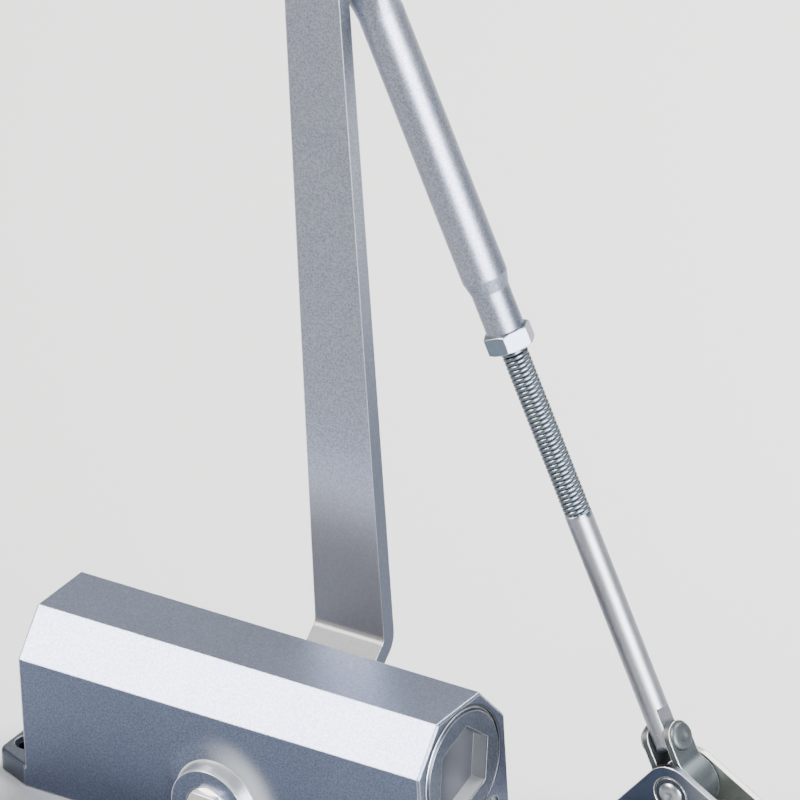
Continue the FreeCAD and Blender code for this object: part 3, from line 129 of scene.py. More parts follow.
class Finish:
    """A material made of nodes."""

    def __init__(self, name):
        self.material = bpy.data.materials.new(name)
        self.material.use_nodes = True
        self.tree = self.material.node_tree
        self.tree.nodes.clear()

    def node(self, kind, settings, sockets, output=0):
        """Add a node: its settings first, then the values or wires of its sockets."""
        item = self.tree.nodes.new(kind)
        for name, value in settings.items():
            setattr(item, name, value)
        for key, value in sockets.items():
            if isinstance(value, Wire):
                self.tree.links.new(value.socket, item.inputs[key])
            else:
                item.inputs[key].default_value = value
        return Wire(self, item.outputs[output]) if item.outputs else None

    def place(self):
        """Where a point lies on the object."""
        return self.node("ShaderNodeTexCoord", {}, {}, "Object")

    def coordinate(self, vector, letter):
        """The X, Y or Z of a vector."""
        return self.node("ShaderNodeSeparateXYZ", {}, {"Vector": vector}, letter)

    def dot(self, first, second):
        """How far one vector points along another."""
        return self.node("ShaderNodeVectorMath", {"operation": "DOT_PRODUCT"},
                         {0: first, 1: second}, "Value")

    def size(self, value):
        """A value without its sign."""
        return self.node("ShaderNodeMath", {"operation": "ABSOLUTE"}, {0: value})

    def noise(self, place, scale, detail, roughness=0.5):
        """Cloudy noise from 0 to 1."""
        return self.node("ShaderNodeTexNoise", {},
                         {"Vector": place, "Scale": scale, "Detail": detail, "Roughness": roughness})

    def bump(self, strength, distance, height, **under):
        """The normal of a surface that a height raises, over the normal under it."""
        return self.node("ShaderNodeBump", {},
                         {"Strength": strength, "Distance": distance, "Height": height, **under})

    def blend(self, factor, first, second):
        """Mix two colours."""
        return self.node("ShaderNodeMix", {"data_type": "RGBA"}, {0: factor, 6: first, 7: second}, 2)

    def surface(self, colour, **sockets):
        """Close the material with one surface shader."""
        names = {name.replace("_", " ").title(): value for name, value in sockets.items()}
        shader = self.node("ShaderNodeBsdfPrincipled", {}, {"Base Color": colour, **names})
        self.node("ShaderNodeOutputMaterial", {}, {"Surface": shader})
        return self.material


floor_width = 12
floor_gap = 0.0002
floor_finish = Finish("studio_floor")
floor_cloud = floor_finish.noise(floor_finish.place(), 3.0, 1.0)
floor_colour = floor_finish.blend(floor_cloud, (0.84, 0.85, 0.86, 1), (0.87, 0.87, 0.87, 1))
bpy.ops.object.select_all(action="DESELECT")
bpy.ops.mesh.primitive_plane_add(size=floor_width, location=(0, 0, cad_box[0][2] - floor_gap))
floor = bpy.context.object
floor.name = "studio_floor"
floor.data.materials.append(floor_finish.surface(floor_colour, roughness=0.8))

world = bpy.data.worlds.new("pale_room")
world.use_nodes = True
world.node_tree.nodes["Background"].inputs["Color"].default_value = (0.88, 0.94, 1.0, 1)
world.node_tree.nodes["Background"].inputs["Strength"].default_value = 0.45
bpy.context.scene.world = world

aim = Vector((0.03, 0.02, 0.09))


def add_soft_box(name, towards, reach, width, height, radiance, colour, on_matt=True):
    """Hang a soft box in one direction from the object, facing it. It may be kept off matt surfaces."""
    bpy.ops.object.light_add(type="AREA")
    lamp = bpy.context.object
    lamp.name = name
    lamp.data.shape = "RECTANGLE"
    lamp.data.size = width
    lamp.data.size_y = height
    lamp.data.energy = radiance * math.pi * width * height
    lamp.data.color = colour
    lamp.visible_diffuse = on_matt
    lamp.location = aim + Vector(towards).normalized() * reach
    lamp.rotation_euler = Vector(towards).to_track_quat("Z", "Y").to_euler()


add_soft_box("bevel_light", towards=(-0.515, -0.63, 0.58), reach=1.2, width=0.55, height=0.55,
             radiance=88.0, colour=(1.0, 0.90, 0.76), on_matt=False)
add_soft_box("bar_light", towards=(0.93, -0.35, 0.09), reach=1.1, width=0.85, height=0.8,
             radiance=50.0, colour=(1.0, 0.99, 0.97), on_matt=False)
add_soft_box("back_light", towards=(-0.515, 0.70, 0.494), reach=1.4, width=1.1, height=0.9,
             radiance=2.2, colour=(1.0, 0.94, 0.80))
add_soft_box("ceiling_light", towards=(0.0, 0.05, 1.0), reach=1.8, width=1.3, height=1.3,
             radiance=3.2, colour=(1.0, 0.95, 0.84), on_matt=False)
add_soft_box("top_light", towards=(0.24, 0.50, 0.83), reach=1.4, width=0.9, height=0.8,
             radiance=27.0, colour=(1.0, 0.99, 0.97))


# Housing: one aluminium casting with mounting ears and a round boss on each side of the pinion.
# It is sprayed with a fine metallic silver paint that looks blue-grey in shade; its edges carry a painted
# highlight.
def dress(material, *names):
    """Give a finish to nodes that keep their shape."""
    for name in names:
        frame["nodes"][name].material_slots[0].material = material


def add_edges(finish, radius):
    """Give the normal with its edges rounded, and a mask that is 1 along the edges."""
    faint, full = 0.004, 0.09
    rounded = finish.node("ShaderNodeBevel", {"samples": 6}, {"Radius": radius})
    flat = finish.node("ShaderNodeNewGeometry", {}, {}, "Normal")
    likeness = finish.dot(rounded, flat)
    mask = finish.node("ShaderNodeMapRange", {"clamp": True},
                       {"Value": 1 - likeness, "From Min": faint, "From Max": full})
    return rounded, mask


def fade(finish, value, start, end):
    """Turn a value into 0 at the start and 1 at the end, held at both."""
    return finish.node("ShaderNodeMapRange", {"interpolation_type": "SMOOTHSTEP"},
                       {"Value": value, "From Min": start, "From Max": end})


def from_line(finish, point, direction):
    """The distance from a line in the object."""
    offset = finish.node("ShaderNodeVectorMath", {"operation": "SUBTRACT"}, {0: finish.place(), 1: point})
    turned = finish.node("ShaderNodeVectorMath", {"operation": "CROSS_PRODUCT"}, {0: offset, 1: direction})
    return finish.node("ShaderNodeVectorMath", {"operation": "LENGTH"}, {0: turned}, "Value")


def ring(finish, distance, radius, half_width):
    """A mask that is 1 along a ring round an axis."""
    return fade(finish, finish.size(distance - radius), half_width, half_width / 2)


def add_paint(finish, dark, light, edge_highlight, edge_radius):
    """Metallic spray paint: flakes, a slight orange peel and a painted highlight along the edges.

    Gives the colour, the grain, the mask of the edges and the normal.
    """
    place = finish.place()
    grain = finish.noise(place, 2200, 3, 0.7)
    flakes = finish.node("ShaderNodeTexVoronoi", {}, {"Vector": place, "Scale": 1400}, "Distance")
    peel = finish.noise(place, 420, 1)
    cloud = finish.noise(place, 38, 2)
    rounded, edges = add_edges(finish, edge_radius)
    speckle = fade(finish, grain * 0.8 + flakes * 0.3, 0.34, 0.72)
    colour = finish.blend(speckle * 0.75 + cloud * 0.25, dark, light)
    colour = finish.blend(edges * (0.35 + grain * 0.5), colour, edge_highlight)
    skin = finish.bump(0.4, 0.00003, grain * 0.7 + peel, Normal=rounded)
    return colour, grain, edges, skin


body_paint = Finish("body_paint")
paint_colour, paint_grain, paint_edges, paint_skin = add_paint(
    body_paint, dark=(0.047, 0.060, 0.102, 1), light=(0.105, 0.125, 0.186, 1),
    edge_highlight=(0.7, 0.72, 0.74, 1), edge_radius=0.0005)
body_place = body_paint.place()
body_y = body_paint.coordinate(body_place, "Y")
near_side = fade(body_paint, body_y, -0.015, -0.02)
joints = {joint["name"]: joint for joint in frame["record"]["behaviour"]["joints"]}
boss_centre = joints["pinion_turn"]["pos_m"]
boss_foot = 0.0141
boss_rim = 0.0129
face_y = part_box("housing")[0][1]
boss_reach = from_line(body_paint, boss_centre, (0, 1, 0))
on_boss = fade(body_paint, boss_reach, boss_foot + 0.0001, boss_foot) * near_side

# In the corner at the boss's foot, above the boss and to its right, the paint is painted lighter: a painted
# reflection of the boss's wall.
towards_sheen = (0.82, 0, 0.57)
sheen_start = 0.0133
sheen_end = 0.0258
sheen_turn = 0.019
boss_offset = body_paint.node("ShaderNodeVectorMath", {"operation": "SUBTRACT"},
                              {0: body_place, 1: boss_centre})
up_right = body_paint.dot(boss_offset, towards_sheen)
sheen = fade(body_paint, boss_reach, sheen_end, sheen_start) * fade(body_paint, up_right, 0.0, sheen_turn)
sheen = sheen * sheen * near_side * (1 - on_boss)
paint_colour = body_paint.blend(sheen, paint_colour, (0.60, 0.64, 0.70, 1))

# The boss's wall is painted light as a painted highlight, with a fine painted highlight line at its foot
# and at its rim.
boss_wall = on_boss * fade(body_paint, body_y, face_y + 0.0001, face_y + 0.0003)
boss_wall = boss_wall * fade(body_paint, boss_reach, boss_rim - 0.0003, boss_rim - 0.0001)
paint_colour = body_paint.blend(boss_wall * 0.85, paint_colour, (0.66, 0.69, 0.72, 1))
foot_line = ring(body_paint, boss_reach, boss_foot, half_width=0.0003)
rim_line = ring(body_paint, boss_reach, boss_rim, half_width=0.00025)
boss_lines = (foot_line + rim_line) * near_side
paint_colour = body_paint.blend(boss_lines * 0.8, paint_colour, (0.85, 0.86, 0.87, 1))

# The bore's edge round the plug and the ears, where less light falls in, are darker.
joint_shadow = (0.02, 0.025, 0.035, 1)
bore_low, bore_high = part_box("end_plug_right")
bore_axis = (0, (bore_low[1] + bore_high[1]) / 2, (bore_low[2] + bore_high[2]) / 2)
plug_radius = (bore_high[1] - bore_low[1]) / 2
plug_end = bore_high[0]
bore_reach = from_line(body_paint, bore_axis, (1, 0, 0))
bore_edge = fade(body_paint, bore_reach, plug_radius + 0.0009, plug_radius + 0.0004)
paint_colour = body_paint.blend(bore_edge * 0.85, paint_colour, joint_shadow)
ear_reach = body_paint.size(body_paint.coordinate(body_place, "X"))
on_ear = fade(body_paint, ear_reach, plug_end - 0.0002, plug_end + 0.0006) * (1 - paint_edges)
paint_colour = body_paint.blend(on_ear * 0.55, paint_colour, (0.014, 0.018, 0.026, 1))

body_shine = 0.92 - paint_edges * 0.4 - boss_wall * 0.45 - sheen * 0.4 - boss_lines * 0.3
body_silver = body_paint.surface(paint_colour, metallic=body_shine, roughness=0.27 + paint_grain * 0.12,
                                 normal=paint_skin)
dress(body_silver, "housing")


# End plugs: turned steel plugs screwed into both ends of the main bore. Their faces are painted with
# the body. The rim is bare, painted dark as painted shadow in the gap, with a painted highlight ring on it.
# The hexagon recess for the key is bare, with painted shade on its floor towards the front and its walls
# painted lighter where they face up. Each has an O-ring in a groove.
plug_paint = Finish("plug_paint")
paint_colour, paint_grain, paint_edges, paint_skin = add_paint(
    plug_paint, dark=(0.033, 0.042, 0.064, 1), light=(0.088, 0.102, 0.14, 1),
    edge_highlight=(0.6, 0.62, 0.64, 1), edge_radius=0.00025)
plug_place = plug_paint.place()
plug_depth = plug_paint.size(plug_paint.coordinate(plug_place, "X"))
recess = fade(plug_paint, plug_depth, plug_end - 0.0001, plug_end - 0.0006)
plug_reach = from_line(plug_paint, bore_axis, (1, 0, 0))
rim = fade(plug_paint, plug_reach, plug_radius - 0.0013, plug_radius - 0.0011)
rim_painted_highlight = ring(plug_paint, plug_reach, plug_radius - 0.0004, half_width=0.00032)
plug_normal = plug_paint.node("ShaderNodeNewGeometry", {}, {}, "Normal")
facing_up = plug_paint.coordinate(plug_normal, "Z")
facing_end = plug_paint.size(plug_paint.coordinate(plug_normal, "X"))
recess_wall = recess * (1 - rim) * fade(plug_paint, facing_end, 0.9, 0.4)
# The recess's walls are painted lighter where they face up: painted light.
recess_wall_painted_light = plug_paint.blend(fade(plug_paint, facing_up, -0.3, 0.95),
                               (0.055, 0.06, 0.07, 1), (0.46, 0.47, 0.48, 1))
# The recess's floor is painted darker towards the front: painted shade.
plug_y = plug_paint.coordinate(plug_place, "Y")
recess_painted_shade = plug_paint.blend(fade(plug_paint, plug_y, bore_axis[1] - 0.009, bore_axis[1] + 0.007),
                                 (0.02, 0.025, 0.042, 1), (0.21, 0.22, 0.25, 1))
paint_colour = plug_paint.blend(recess * (1 - rim) * 0.75, paint_colour, recess_painted_shade)
paint_colour = plug_paint.blend(recess_wall * (1 - paint_edges * 0.6), paint_colour, recess_wall_painted_light)
# The rim is painted dark: painted shadow in the gap round the plug.
paint_colour = plug_paint.blend(rim * 0.8, paint_colour, joint_shadow)
# A pale ring on the rim is a painted highlight.
paint_colour = plug_paint.blend(rim_painted_highlight * 0.9, paint_colour, (0.75, 0.77, 0.79, 1))
plug_shine = 0.9 - recess_wall * 0.6 - paint_edges * 0.3 - rim_painted_highlight * 0.3
plug_silver = plug_paint.surface(paint_colour, metallic=plug_shine, roughness=0.30 + paint_grain * 0.14,
                                 normal=paint_skin)
dress(plug_silver, "end_plug_right", "end_plug_left")

# All seals are of black nitrile rubber with a faint bloom.
seal_rubber = Finish("seal_rubber")
bloom = seal_rubber.noise(seal_rubber.place(), 900, 2)
rubber_colour = seal_rubber.blend(bloom, (0.012, 0.012, 0.013, 1), (0.03, 0.03, 0.032, 1))
rubber_skin = seal_rubber.bump(0.3, 0.00002, bloom)
dress(seal_rubber.surface(rubber_colour, roughness=0.55 + bloom * 0.2, normal=rubber_skin),
      "plug_seal_right", "plug_seal_left", "pinion_seal_front", "pinion_seal_rear",
      "closing_valve_seal", "latching_valve_seal", "piston_seal")


# Regulating screws: small slotted screws of zinc-plated steel in the right end, one for the closing
# speed and one for the latching speed, sealed by O-rings.
def make_steel(name, dark, light, edge_highlight, roughness, streak, edge_radius):
    """Bare or plated steel: fine turning streaks, cloudy tone and a painted highlight along the edges."""
    finish = Finish(name)
    place = finish.place()
    stretched = finish.node("ShaderNodeMapping", {}, {"Vector": place, "Scale": streak})
    streaks = finish.noise(stretched, 1.0, 3)
    grain = finish.noise(place, 3000, 1)
    cloud = finish.noise(place, 120, 2)
    rounded, edges = add_edges(finish, edge_radius)
    colour = finish.blend(streaks * 0.4 + grain * 0.3 + cloud * 0.3, dark, light)
    colour = finish.blend(edges * 0.6, colour, edge_highlight)
    skin = finish.bump(0.3, 0.00002, streaks + grain * 0.4, Normal=rounded)
    return finish.surface(colour, metallic=1.0, roughness=roughness + streaks * 0.12 + cloud * 0.06,
                          normal=skin)


bright_edge = (0.9, 0.9, 0.9, 1)
zinc_plate = make_steel(
    "zinc_plate", dark=(0.16, 0.175, 0.195, 1), light=(0.32, 0.335, 0.35, 1), edge_highlight=bright_edge,
    roughness=0.22, streak=(900, 900, 900), edge_radius=0.0003)
dress(zinc_plate, "closing_valve_screw", "latching_valve_screw")


# Pinion shaft: hardened steel with teeth between two ground journals. Its near hexagon stands in the
# boss, and its far hexagon carries the arm. Bronze bushes and a threaded gland ring hold it.
ground_steel = make_steel(
    "ground_steel", dark=(0.34, 0.35, 0.36, 1), light=(0.50, 0.51, 0.52, 1), edge_highlight=bright_edge,
    roughness=0.28, streak=(1500, 200, 1500), edge_radius=0.0003)
dress(ground_steel, "pinion_shaft")
dress(zinc_plate, "gland_nut")
bush_bronze = make_steel(
    "bush_bronze", dark=(0.42, 0.25, 0.11, 1), light=(0.60, 0.38, 0.18, 1), edge_highlight=(0.8, 0.55, 0.3, 1),
    roughness=0.3, streak=(1200, 120, 1200), edge_radius=0.0002)
dress(bush_bronze, "pinion_bearing_front", "pinion_bearing_rear")


# Main arm: a flat steel bar with one joggle, pressed on the pinion's hexagon and painted silver.
# A socket screw and a washer hold it on. The joggle's slope and the bar's side low down are painted dark as
# painted shade, and faces towards the front low on the bar are painted lighter as a painted reflection.
arm_paint = Finish("arm_paint")
paint_colour, paint_grain, paint_edges, paint_skin = add_paint(
    arm_paint, dark=(0.096, 0.109, 0.142, 1), light=(0.226, 0.246, 0.302, 1),
    edge_highlight=(0.8, 0.81, 0.83, 1), edge_radius=0.0005)
arm_height = arm_paint.coordinate(arm_paint.place(), "Z")
arm_normal = arm_paint.node("ShaderNodeTexCoord", {}, {}, "Normal")
facing_back = arm_paint.coordinate(arm_normal, "Y")
# Low on the bar, faces towards the front are painted lighter: a painted reflection.
foot_painted_reflection = fade(arm_paint, arm_height, 0.105, 0.055) * fade(arm_paint, facing_back, -0.4, -0.9)
paint_colour = arm_paint.blend(foot_painted_reflection * 0.5, paint_colour, (0.50, 0.51, 0.55, 1))
# The joggle's slope is painted dark: painted shade.
on_slope = arm_paint.dot(arm_normal, (0, -0.7, 0.71))
slope_painted_shade = fade(arm_paint, on_slope, 0.8, 0.95) * (1 - paint_edges)
paint_colour = arm_paint.blend(slope_painted_shade * 0.84, paint_colour, (0.02, 0.022, 0.028, 1))
# The bar's side, which faces right, is painted dark low down: painted shade.
facing_right = arm_paint.coordinate(arm_normal, "X")
side_painted_shade = fade(arm_paint, facing_right, 0.5, 0.85) * fade(arm_paint, arm_height, 0.21, 0.09)
paint_colour = arm_paint.blend(side_painted_shade * 0.8, paint_colour, (0.025, 0.034, 0.06, 1))
arm_silver = arm_paint.surface(paint_colour, metallic=0.88 - paint_edges * 0.4,
                               roughness=0.34 + paint_grain * 0.12, normal=paint_skin)
dress(arm_silver, "main_arm")
dress(zinc_plate, "arm_washer", "arm_screw")


# Elbow: a steel pin with low domed heads, riveted over, and a washer between the arm and the
# forearm. Both are zinc-plated as the screws are.
merge_distance = 0.000002
smooth_angle = math.radians(35)


def draw_chain(name, points):
    """Draw a chain of edges in the XZ plane through points given as distance from the axis and height."""
    bpy.ops.object.select_all(action="DESELECT")
    bpy.ops.mesh.primitive_plane_add(size=0.001)
    piece = bpy.context.object
    piece.name = name
    bpy.ops.object.mode_set(mode="EDIT")
    bpy.ops.mesh.select_all(action="SELECT")
    bpy.ops.mesh.merge(type="CENTER")
    bpy.ops.transform.translate(value=(points[0][0], 0, points[0][1]))
    for start, end in zip(points, points[1:]):
        step = (end[0] - start[0], 0, end[1] - start[1])
        bpy.ops.mesh.extrude_region_move(TRANSFORM_OT_translate={"value": step})
    bpy.ops.object.mode_set(mode="OBJECT")
    return piece


def close_up(piece):
    """Merge doubled points and turn all faces outwards."""
    bpy.ops.object.mode_set(mode="EDIT")
    bpy.ops.mesh.select_all(action="SELECT")
    bpy.ops.mesh.remove_doubles(threshold=merge_distance)
    bpy.ops.mesh.normals_make_consistent(inside=False)
    bpy.ops.object.mode_set(mode="OBJECT")
    bpy.ops.object.shade_smooth_by_angle(angle=smooth_angle)


def turn_piece(name, points, steps):
    """Turn a chain round the Z axis into a closed solid."""
    piece = draw_chain(name, points)
    bpy.ops.object.mode_set(mode="EDIT")
    bpy.ops.mesh.select_all(action="SELECT")
    bpy.ops.mesh.spin(steps=steps, angle=2 * math.pi, center=(0, 0, 0), axis=(0, 0, 1))
    bpy.ops.object.mode_set(mode="OBJECT")
    close_up(piece)
    return piece


def pick(*pieces):
    """Select these pieces alone. The last of them is the active one."""
    bpy.ops.object.select_all(action="DESELECT")
    for piece in pieces:
        piece.select_set(True)
        bpy.context.view_layer.objects.active = piece


def settle(piece, place, material, slot, body, *replaced):
    """Put a finished piece in its place, give it its finish and let it ride on its body."""
    pick(piece)
    piece.matrix_world = place
    bpy.ops.object.transform_apply(location=True, rotation=True, scale=True)
    piece.data.materials.clear()
    piece.data.materials.append(material)
    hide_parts(*replaced)
    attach(piece, body)


def lie_along_y(name):
    """The length of a node that lies along Y, and the place of a turned piece that stands for it."""
    low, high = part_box(name)
    foot = Vector(((low[0] + high[0]) / 2, low[1], (low[2] + high[2]) / 2))
    return high[1] - low[1], Matrix.Translation(foot) @ Matrix.Rotation(-math.pi / 2, 4, "X")


elbow_length, elbow_place = lie_along_y("elbow_pin")
elbow_pin = turn_piece("elbow_rivet", [
    (0, 0.0004), (0.0014, 0.0003), (0.0022, 0), (0.0052, 0.0002), (0.0064, 0.0007), (0.007, 0.0015),
    (0.007, 0.002), (0.004, 0.002), (0.004, elbow_length - 0.002), (0.007, elbow_length - 0.002),
    (0.007, elbow_length - 0.0015), (0.0064, elbow_length - 0.0007), (0.0052, elbow_length - 0.0002),
    (0.0022, elbow_length), (0.0014, elbow_length - 0.0003), (0, elbow_length - 0.0004)], steps=48)
settle(elbow_pin, elbow_place, zinc_plate, "zinc_steel", "spindle_and_arm", "elbow_pin")
dress(zinc_plate, "elbow_washer")


# Forearm tube: drawn steel tube, pressed flat at the elbow and swaged to a narrower neck with an
# inner thread at its mouth. It has the arm's silver paint.
dress(arm_silver, "forearm_tube")


# Lock nut: a hexagon nut of zinc-plated steel on the rod's thread. It is screwed up against the
# tube's mouth, and so keeps the rod from turning.
nut_zinc = make_steel(
    "nut_zinc", dark=(0.06, 0.08, 0.12, 1), light=(0.14, 0.17, 0.215, 1), edge_highlight=bright_edge,
    roughness=0.22, streak=(600, 600, 600), edge_radius=0.0004)
dress(nut_zinc, "lock_nut")


# Adjusting rod: zinc-plated steel with a rolled M8 thread on its upper length, where it screws into
# the tube, then plain, with two flats and a round end that the rivet passes through.
elbow = Vector(joints["elbow_turn"]["pos_m"])
along = Vector(joints["lock_nut_turn"]["axis"]).normalized()
rivet = Vector(joints["knuckle_tilt"]["pos_m"])
forearm_y = rivet.y
rivet_reach = (rivet - elbow).dot(along)
forearm_turn = Matrix.Rotation(math.pi - math.atan2(along.x, -along.z), 4, "Y")
forearm_place = Matrix.Translation((elbow.x, forearm_y, elbow.z)) @ forearm_turn
thread_pitch = 0.00137
thread_crest = 0.00396
thread_root = 0.00346
thread_start = 0.0955
thread_end = 0.1994
thread_turns = math.ceil((thread_end - thread_start) / thread_pitch) + 2


def cut_across(piece, distance, keep_beyond):
    """Cut a piece across its Z axis and close the cut."""
    pick(piece)
    bpy.ops.object.mode_set(mode="EDIT")
    bpy.ops.mesh.select_all(action="SELECT")
    bpy.ops.mesh.bisect(plane_co=(0, 0, distance), plane_no=(0, 0, 1), use_fill=True,
                        clear_inner=keep_beyond, clear_outer=not keep_beyond)
    bpy.ops.object.mode_set(mode="OBJECT")


def carve(piece, tool, operation):
    """Cut a piece with a tool, or keep what lies in the tool, and take the tool away."""
    bpy.ops.object.transform_apply(location=True, rotation=True, scale=True)
    bpy.ops.object.select_all(action="DESELECT")
    bpy.context.view_layer.objects.active = piece
    bpy.ops.object.modifier_add(type="BOOLEAN")
    boolean = piece.modifiers[-1]
    boolean.operation = operation
    boolean.object = tool
    bpy.ops.object.modifier_apply(modifier=boolean.name)
    bpy.data.objects.remove(tool, do_unlink=True)


profile_steps = 10
crest_breadth = 0.4
thread_profile = []
for step in range(profile_steps + 1):
    rise = math.sin(math.pi * step / profile_steps) ** crest_breadth
    thread_profile.append((thread_root + (thread_crest - thread_root) * rise,
                           thread_pitch * step / profile_steps))
thread = draw_chain("adjusting_rod_thread", thread_profile)
bpy.ops.object.modifier_add(type="SCREW")
screw = thread.modifiers[-1]
screw.axis = "Z"
screw.angle = 2 * math.pi
screw.screw_offset = thread_pitch
screw.iterations = thread_turns
screw.steps = 36
screw.render_steps = 36
screw.use_merge_vertices = True
screw.merge_threshold = merge_distance
bpy.ops.object.modifier_apply(modifier=screw.name)
close_up(thread)
thread.location = (0, 0, thread_start - thread_pitch)
bpy.ops.object.transform_apply(location=True, rotation=True, scale=True)
cut_across(thread, thread_start, keep_beyond=True)
cut_across(thread, thread_end, keep_beyond=False)

rod_radius = 0.004
shoulder = 0.0003
rivet_hole = 0.00255
tongue_half = 0.0028
tongue_length = 0.010
plain_rod = turn_piece("adjusting_rod_plain", [
    (0, thread_end), (rod_radius - shoulder, thread_end), (rod_radius, thread_end + shoulder),
    (rod_radius, rivet_reach + rod_radius), (0, rivet_reach + rod_radius)], steps=64)
for side in (-1, 1):
    bpy.ops.object.select_all(action="DESELECT")
    bpy.ops.mesh.primitive_cube_add(
        size=1, location=(side * (tongue_half + rod_radius / 2), 0, rivet_reach + tongue_length / 2),
        scale=(rod_radius, 4 * rod_radius, 3 * tongue_length))
    carve(plain_rod, bpy.context.object, "DIFFERENCE")
bpy.ops.object.select_all(action="DESELECT")
bpy.ops.mesh.primitive_cylinder_add(vertices=64, radius=rod_radius * 1.003, depth=4 * rod_radius,
                                    location=(0, 0, rivet_reach), rotation=(0, math.pi / 2, 0))
round_end = bpy.context.object
bpy.ops.object.transform_apply(location=True, rotation=True, scale=True)
bpy.ops.object.mode_set(mode="EDIT")
bpy.ops.mesh.select_all(action="DESELECT")
bpy.ops.object.mode_set(mode="OBJECT")
for vertex in round_end.data.vertices:
    vertex.select = vertex.co.z < rivet_reach - 0.00001
bpy.ops.object.mode_set(mode="EDIT")
bpy.ops.transform.translate(value=(0, 0, -1.2 * (rivet_reach - thread_end)))
bpy.ops.object.mode_set(mode="OBJECT")
carve(plain_rod, round_end, "INTERSECT")
bpy.ops.object.select_all(action="DESELECT")
bpy.ops.mesh.primitive_cylinder_add(vertices=32, radius=rivet_hole, depth=4 * rod_radius,
                                    location=(0, 0, rivet_reach), rotation=(0, math.pi / 2, 0))
carve(plain_rod, bpy.context.object, "DIFFERENCE")
close_up(plain_rod)
pick(plain_rod, thread)
bpy.ops.object.join()

rod_zinc = Finish("rod_zinc")
rod_place = rod_zinc.place()
rod_grain = rod_zinc.noise(rod_place, 2600, 2)
rod_cloud = rod_zinc.noise(rod_place, 150, 2)
rod_rounded, rod_edges = add_edges(rod_zinc, 0.0002)
rod_colour = rod_zinc.blend(rod_grain * 0.6 + rod_cloud * 0.4,
                            (0.10, 0.108, 0.13, 1), (0.27, 0.28, 0.31, 1))
# The edges get a painted highlight.
rod_colour = rod_zinc.blend(rod_edges * 0.6, rod_colour, (0.8, 0.81, 0.83, 1))
rod_reach = from_line(rod_zinc, (elbow.x, forearm_y, elbow.z), tuple(along))
rod_height = rod_zinc.coordinate(rod_place, "Z")
thread_foot = elbow.z - thread_end * abs(along.z)
on_thread = fade(rod_zinc, rod_height, thread_foot - 0.0004, thread_foot + 0.0004)
# The thread's roots are painted almost black: painted shade in the grooves.
thread_depth = fade(rod_zinc, rod_reach, thread_crest - 0.00008, thread_root + 0.00012)
rod_colour = rod_zinc.blend(on_thread * (1 - thread_depth), rod_colour, (0.092, 0.112, 0.136, 1))
rod_colour = rod_zinc.blend(on_thread * thread_depth, rod_colour, (0.006, 0.010, 0.014, 1))
rod_skin = rod_zinc.bump(0.35, 0.00002, rod_grain, Normal=rod_rounded)
rod_silver = rod_zinc.surface(rod_colour, metallic=0.92,
                              roughness=0.33 + rod_grain * 0.14 - on_thread * 0.11, normal=rod_skin)
settle(thread, forearm_place, rod_silver, "zinc_steel", "rod", "adjusting_rod")


# Knuckle: a steel yoke whose two ears hold the rod's flats, with a round foot about the shoe's pin.
# Its rivet has flat heads with a small dimple from the riveting tool.
knuckle_steel = make_steel(
    "knuckle_steel", dark=(0.028, 0.034, 0.041, 1), light=(0.086, 0.098, 0.106, 1),
    edge_highlight=(0.85, 0.86, 0.86, 1), roughness=0.42, streak=(1400, 1400, 1400), edge_radius=0.0004)
dress(knuckle_steel, "knuckle")
rivet_half = 0.0067
head_face = 0.0052
rivet_points = [(0, -rivet_half + 0.00035), (0.0008, -rivet_half + 0.0003), (0.0014, -rivet_half + 0.00005),
                (0.0019, -rivet_half), (0.0033, -rivet_half + 0.00005), (0.0039, -rivet_half + 0.0003),
                (0.0042, -rivet_half + 0.0007), (0.0043, -head_face), (0.0025, -head_face)]
rivet_points += [(radius, -height) for radius, height in reversed(rivet_points)]
rivet_piece = turn_piece("knuckle_rivet_headed", rivet_points, steps=48)
rivet_place = Matrix.Translation(rivet) @ forearm_turn @ Matrix.Rotation(math.pi / 2, 4, "Y")
settle(rivet_piece, rivet_place, knuckle_steel, "zinc_steel", "yoke", "knuckle_rivet")


# Shoe: a U bracket pressed from steel plate with a dark blue chromate, screwed to the door frame.
# A washer and the domed head of the pivot pin lie in a shallow recess of its near side.
shoe_chromate = Finish("shoe_chromate")
shoe_place = shoe_chromate.place()
shoe_grain = shoe_chromate.noise(shoe_place, 2600, 2)
shoe_cloud = shoe_chromate.noise(shoe_place, 140, 3)
shoe_x = shoe_chromate.coordinate(shoe_place, "X")
shoe_y = shoe_chromate.coordinate(shoe_place, "Y")
shoe_rounded, shoe_edges = add_edges(shoe_chromate, 0.0005)
shoe_navy = shoe_chromate.blend(shoe_grain * 0.5 + shoe_cloud * 0.5,
                                (0.012, 0.02, 0.045, 1), (0.04, 0.052, 0.085, 1))
shoe_pale = shoe_chromate.blend(shoe_grain, (0.06, 0.07, 0.09, 1), (0.15, 0.16, 0.175, 1))
shoe_green = shoe_chromate.blend(shoe_grain, (0.20, 0.225, 0.205, 1), (0.42, 0.45, 0.42, 1))
pin_x = joints["shoe_swivel"]["pos_m"][0]
right_of_pin = fade(shoe_chromate, shoe_x, pin_x - 0.002, pin_x + 0.014)
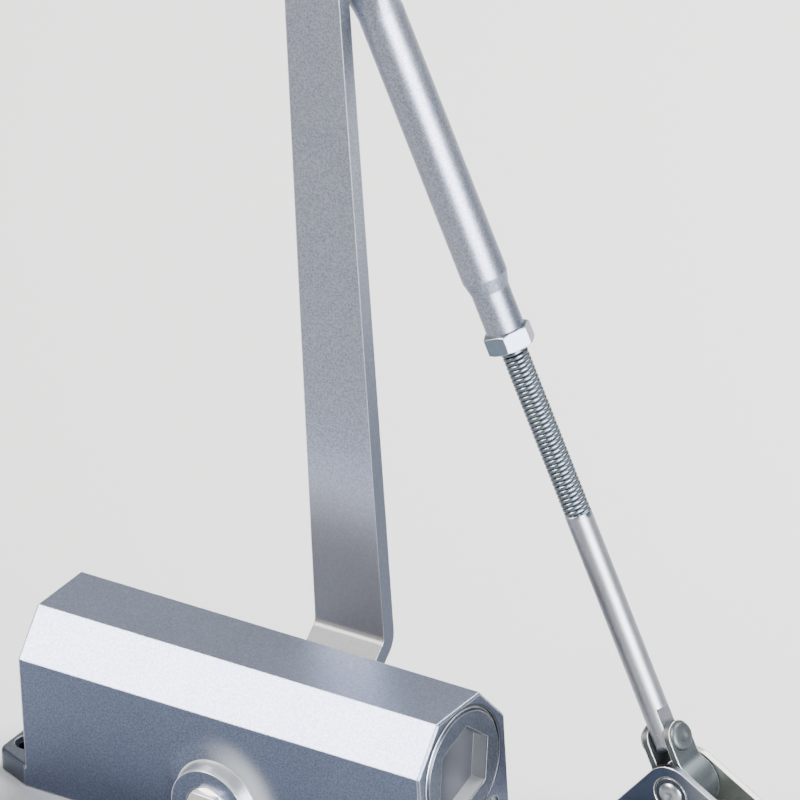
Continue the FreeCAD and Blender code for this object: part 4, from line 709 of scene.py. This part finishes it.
shoe_colour = shoe_chromate.blend(right_of_pin, shoe_navy, shoe_pale)
far_side = fade(shoe_chromate, shoe_y, forearm_y - 0.002, forearm_y + 0.003)
shoe_colour = shoe_chromate.blend(far_side, shoe_colour, shoe_green)
# The edges get a painted highlight.
shoe_colour = shoe_chromate.blend(shoe_edges * 0.8, shoe_colour, (0.85, 0.84, 0.80, 1))
shoe_skin = shoe_chromate.bump(0.3, 0.00002, shoe_grain, Normal=shoe_rounded)
shoe_steel = shoe_chromate.surface(shoe_colour, metallic=0.8, roughness=0.32 + shoe_cloud * 0.12,
                                   normal=shoe_skin)
dress(shoe_steel, "shoe_bracket")
# The washer is coloured almost black as painted shade of the recess it lies in.
washer_painted_shade = make_steel(
    "washer_painted_shade", dark=(0.016, 0.02, 0.03, 1), light=(0.05, 0.06, 0.08, 1), edge_highlight=(0.85, 0.86, 0.88, 1),
    roughness=0.3, streak=(900, 900, 900), edge_radius=0.0003)
dress(washer_painted_shade, "shoe_washer")
pin_length, pin_place = lie_along_y("shoe_pin")
shoe_pin = turn_piece("shoe_pin_domed", [
    (0, 0.00045), (0.0006, 0.0004), (0.0011, 0.0001), (0.0017, 0), (0.0027, 0.00012), (0.0034, 0.00045),
    (0.00385, 0.0009), (0.00385, 0.0012), (0.003, 0.0012), (0.003, pin_length - 0.0013),
    (0.0038, pin_length - 0.0013), (0.0037, pin_length - 0.0008), (0.0031, pin_length - 0.0003),
    (0.002, pin_length - 0.00005), (0, pin_length)], steps=48)
settle(shoe_pin, pin_place, zinc_plate, "zinc_steel", "shoe", "shoe_pin")


# Piston with its one-way valve, of ground steel, and the main spring, coiled from spring steel wire.
# They lie in the bore. The spring presses on the right plug and shortens as the piston slides.
spring_steel = make_steel(
    "spring_steel", dark=(0.10, 0.10, 0.11, 1), light=(0.2, 0.2, 0.21, 1), edge_highlight=(0.4, 0.4, 0.4, 1),
    roughness=0.3, streak=(300, 2000, 2000), edge_radius=0.0002)
dress(ground_steel, "piston", "check_ball", "check_ball_retainer")
dress(spring_steel, "main_spring")
spring = frame["nodes"]["main_spring"]
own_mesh(spring)
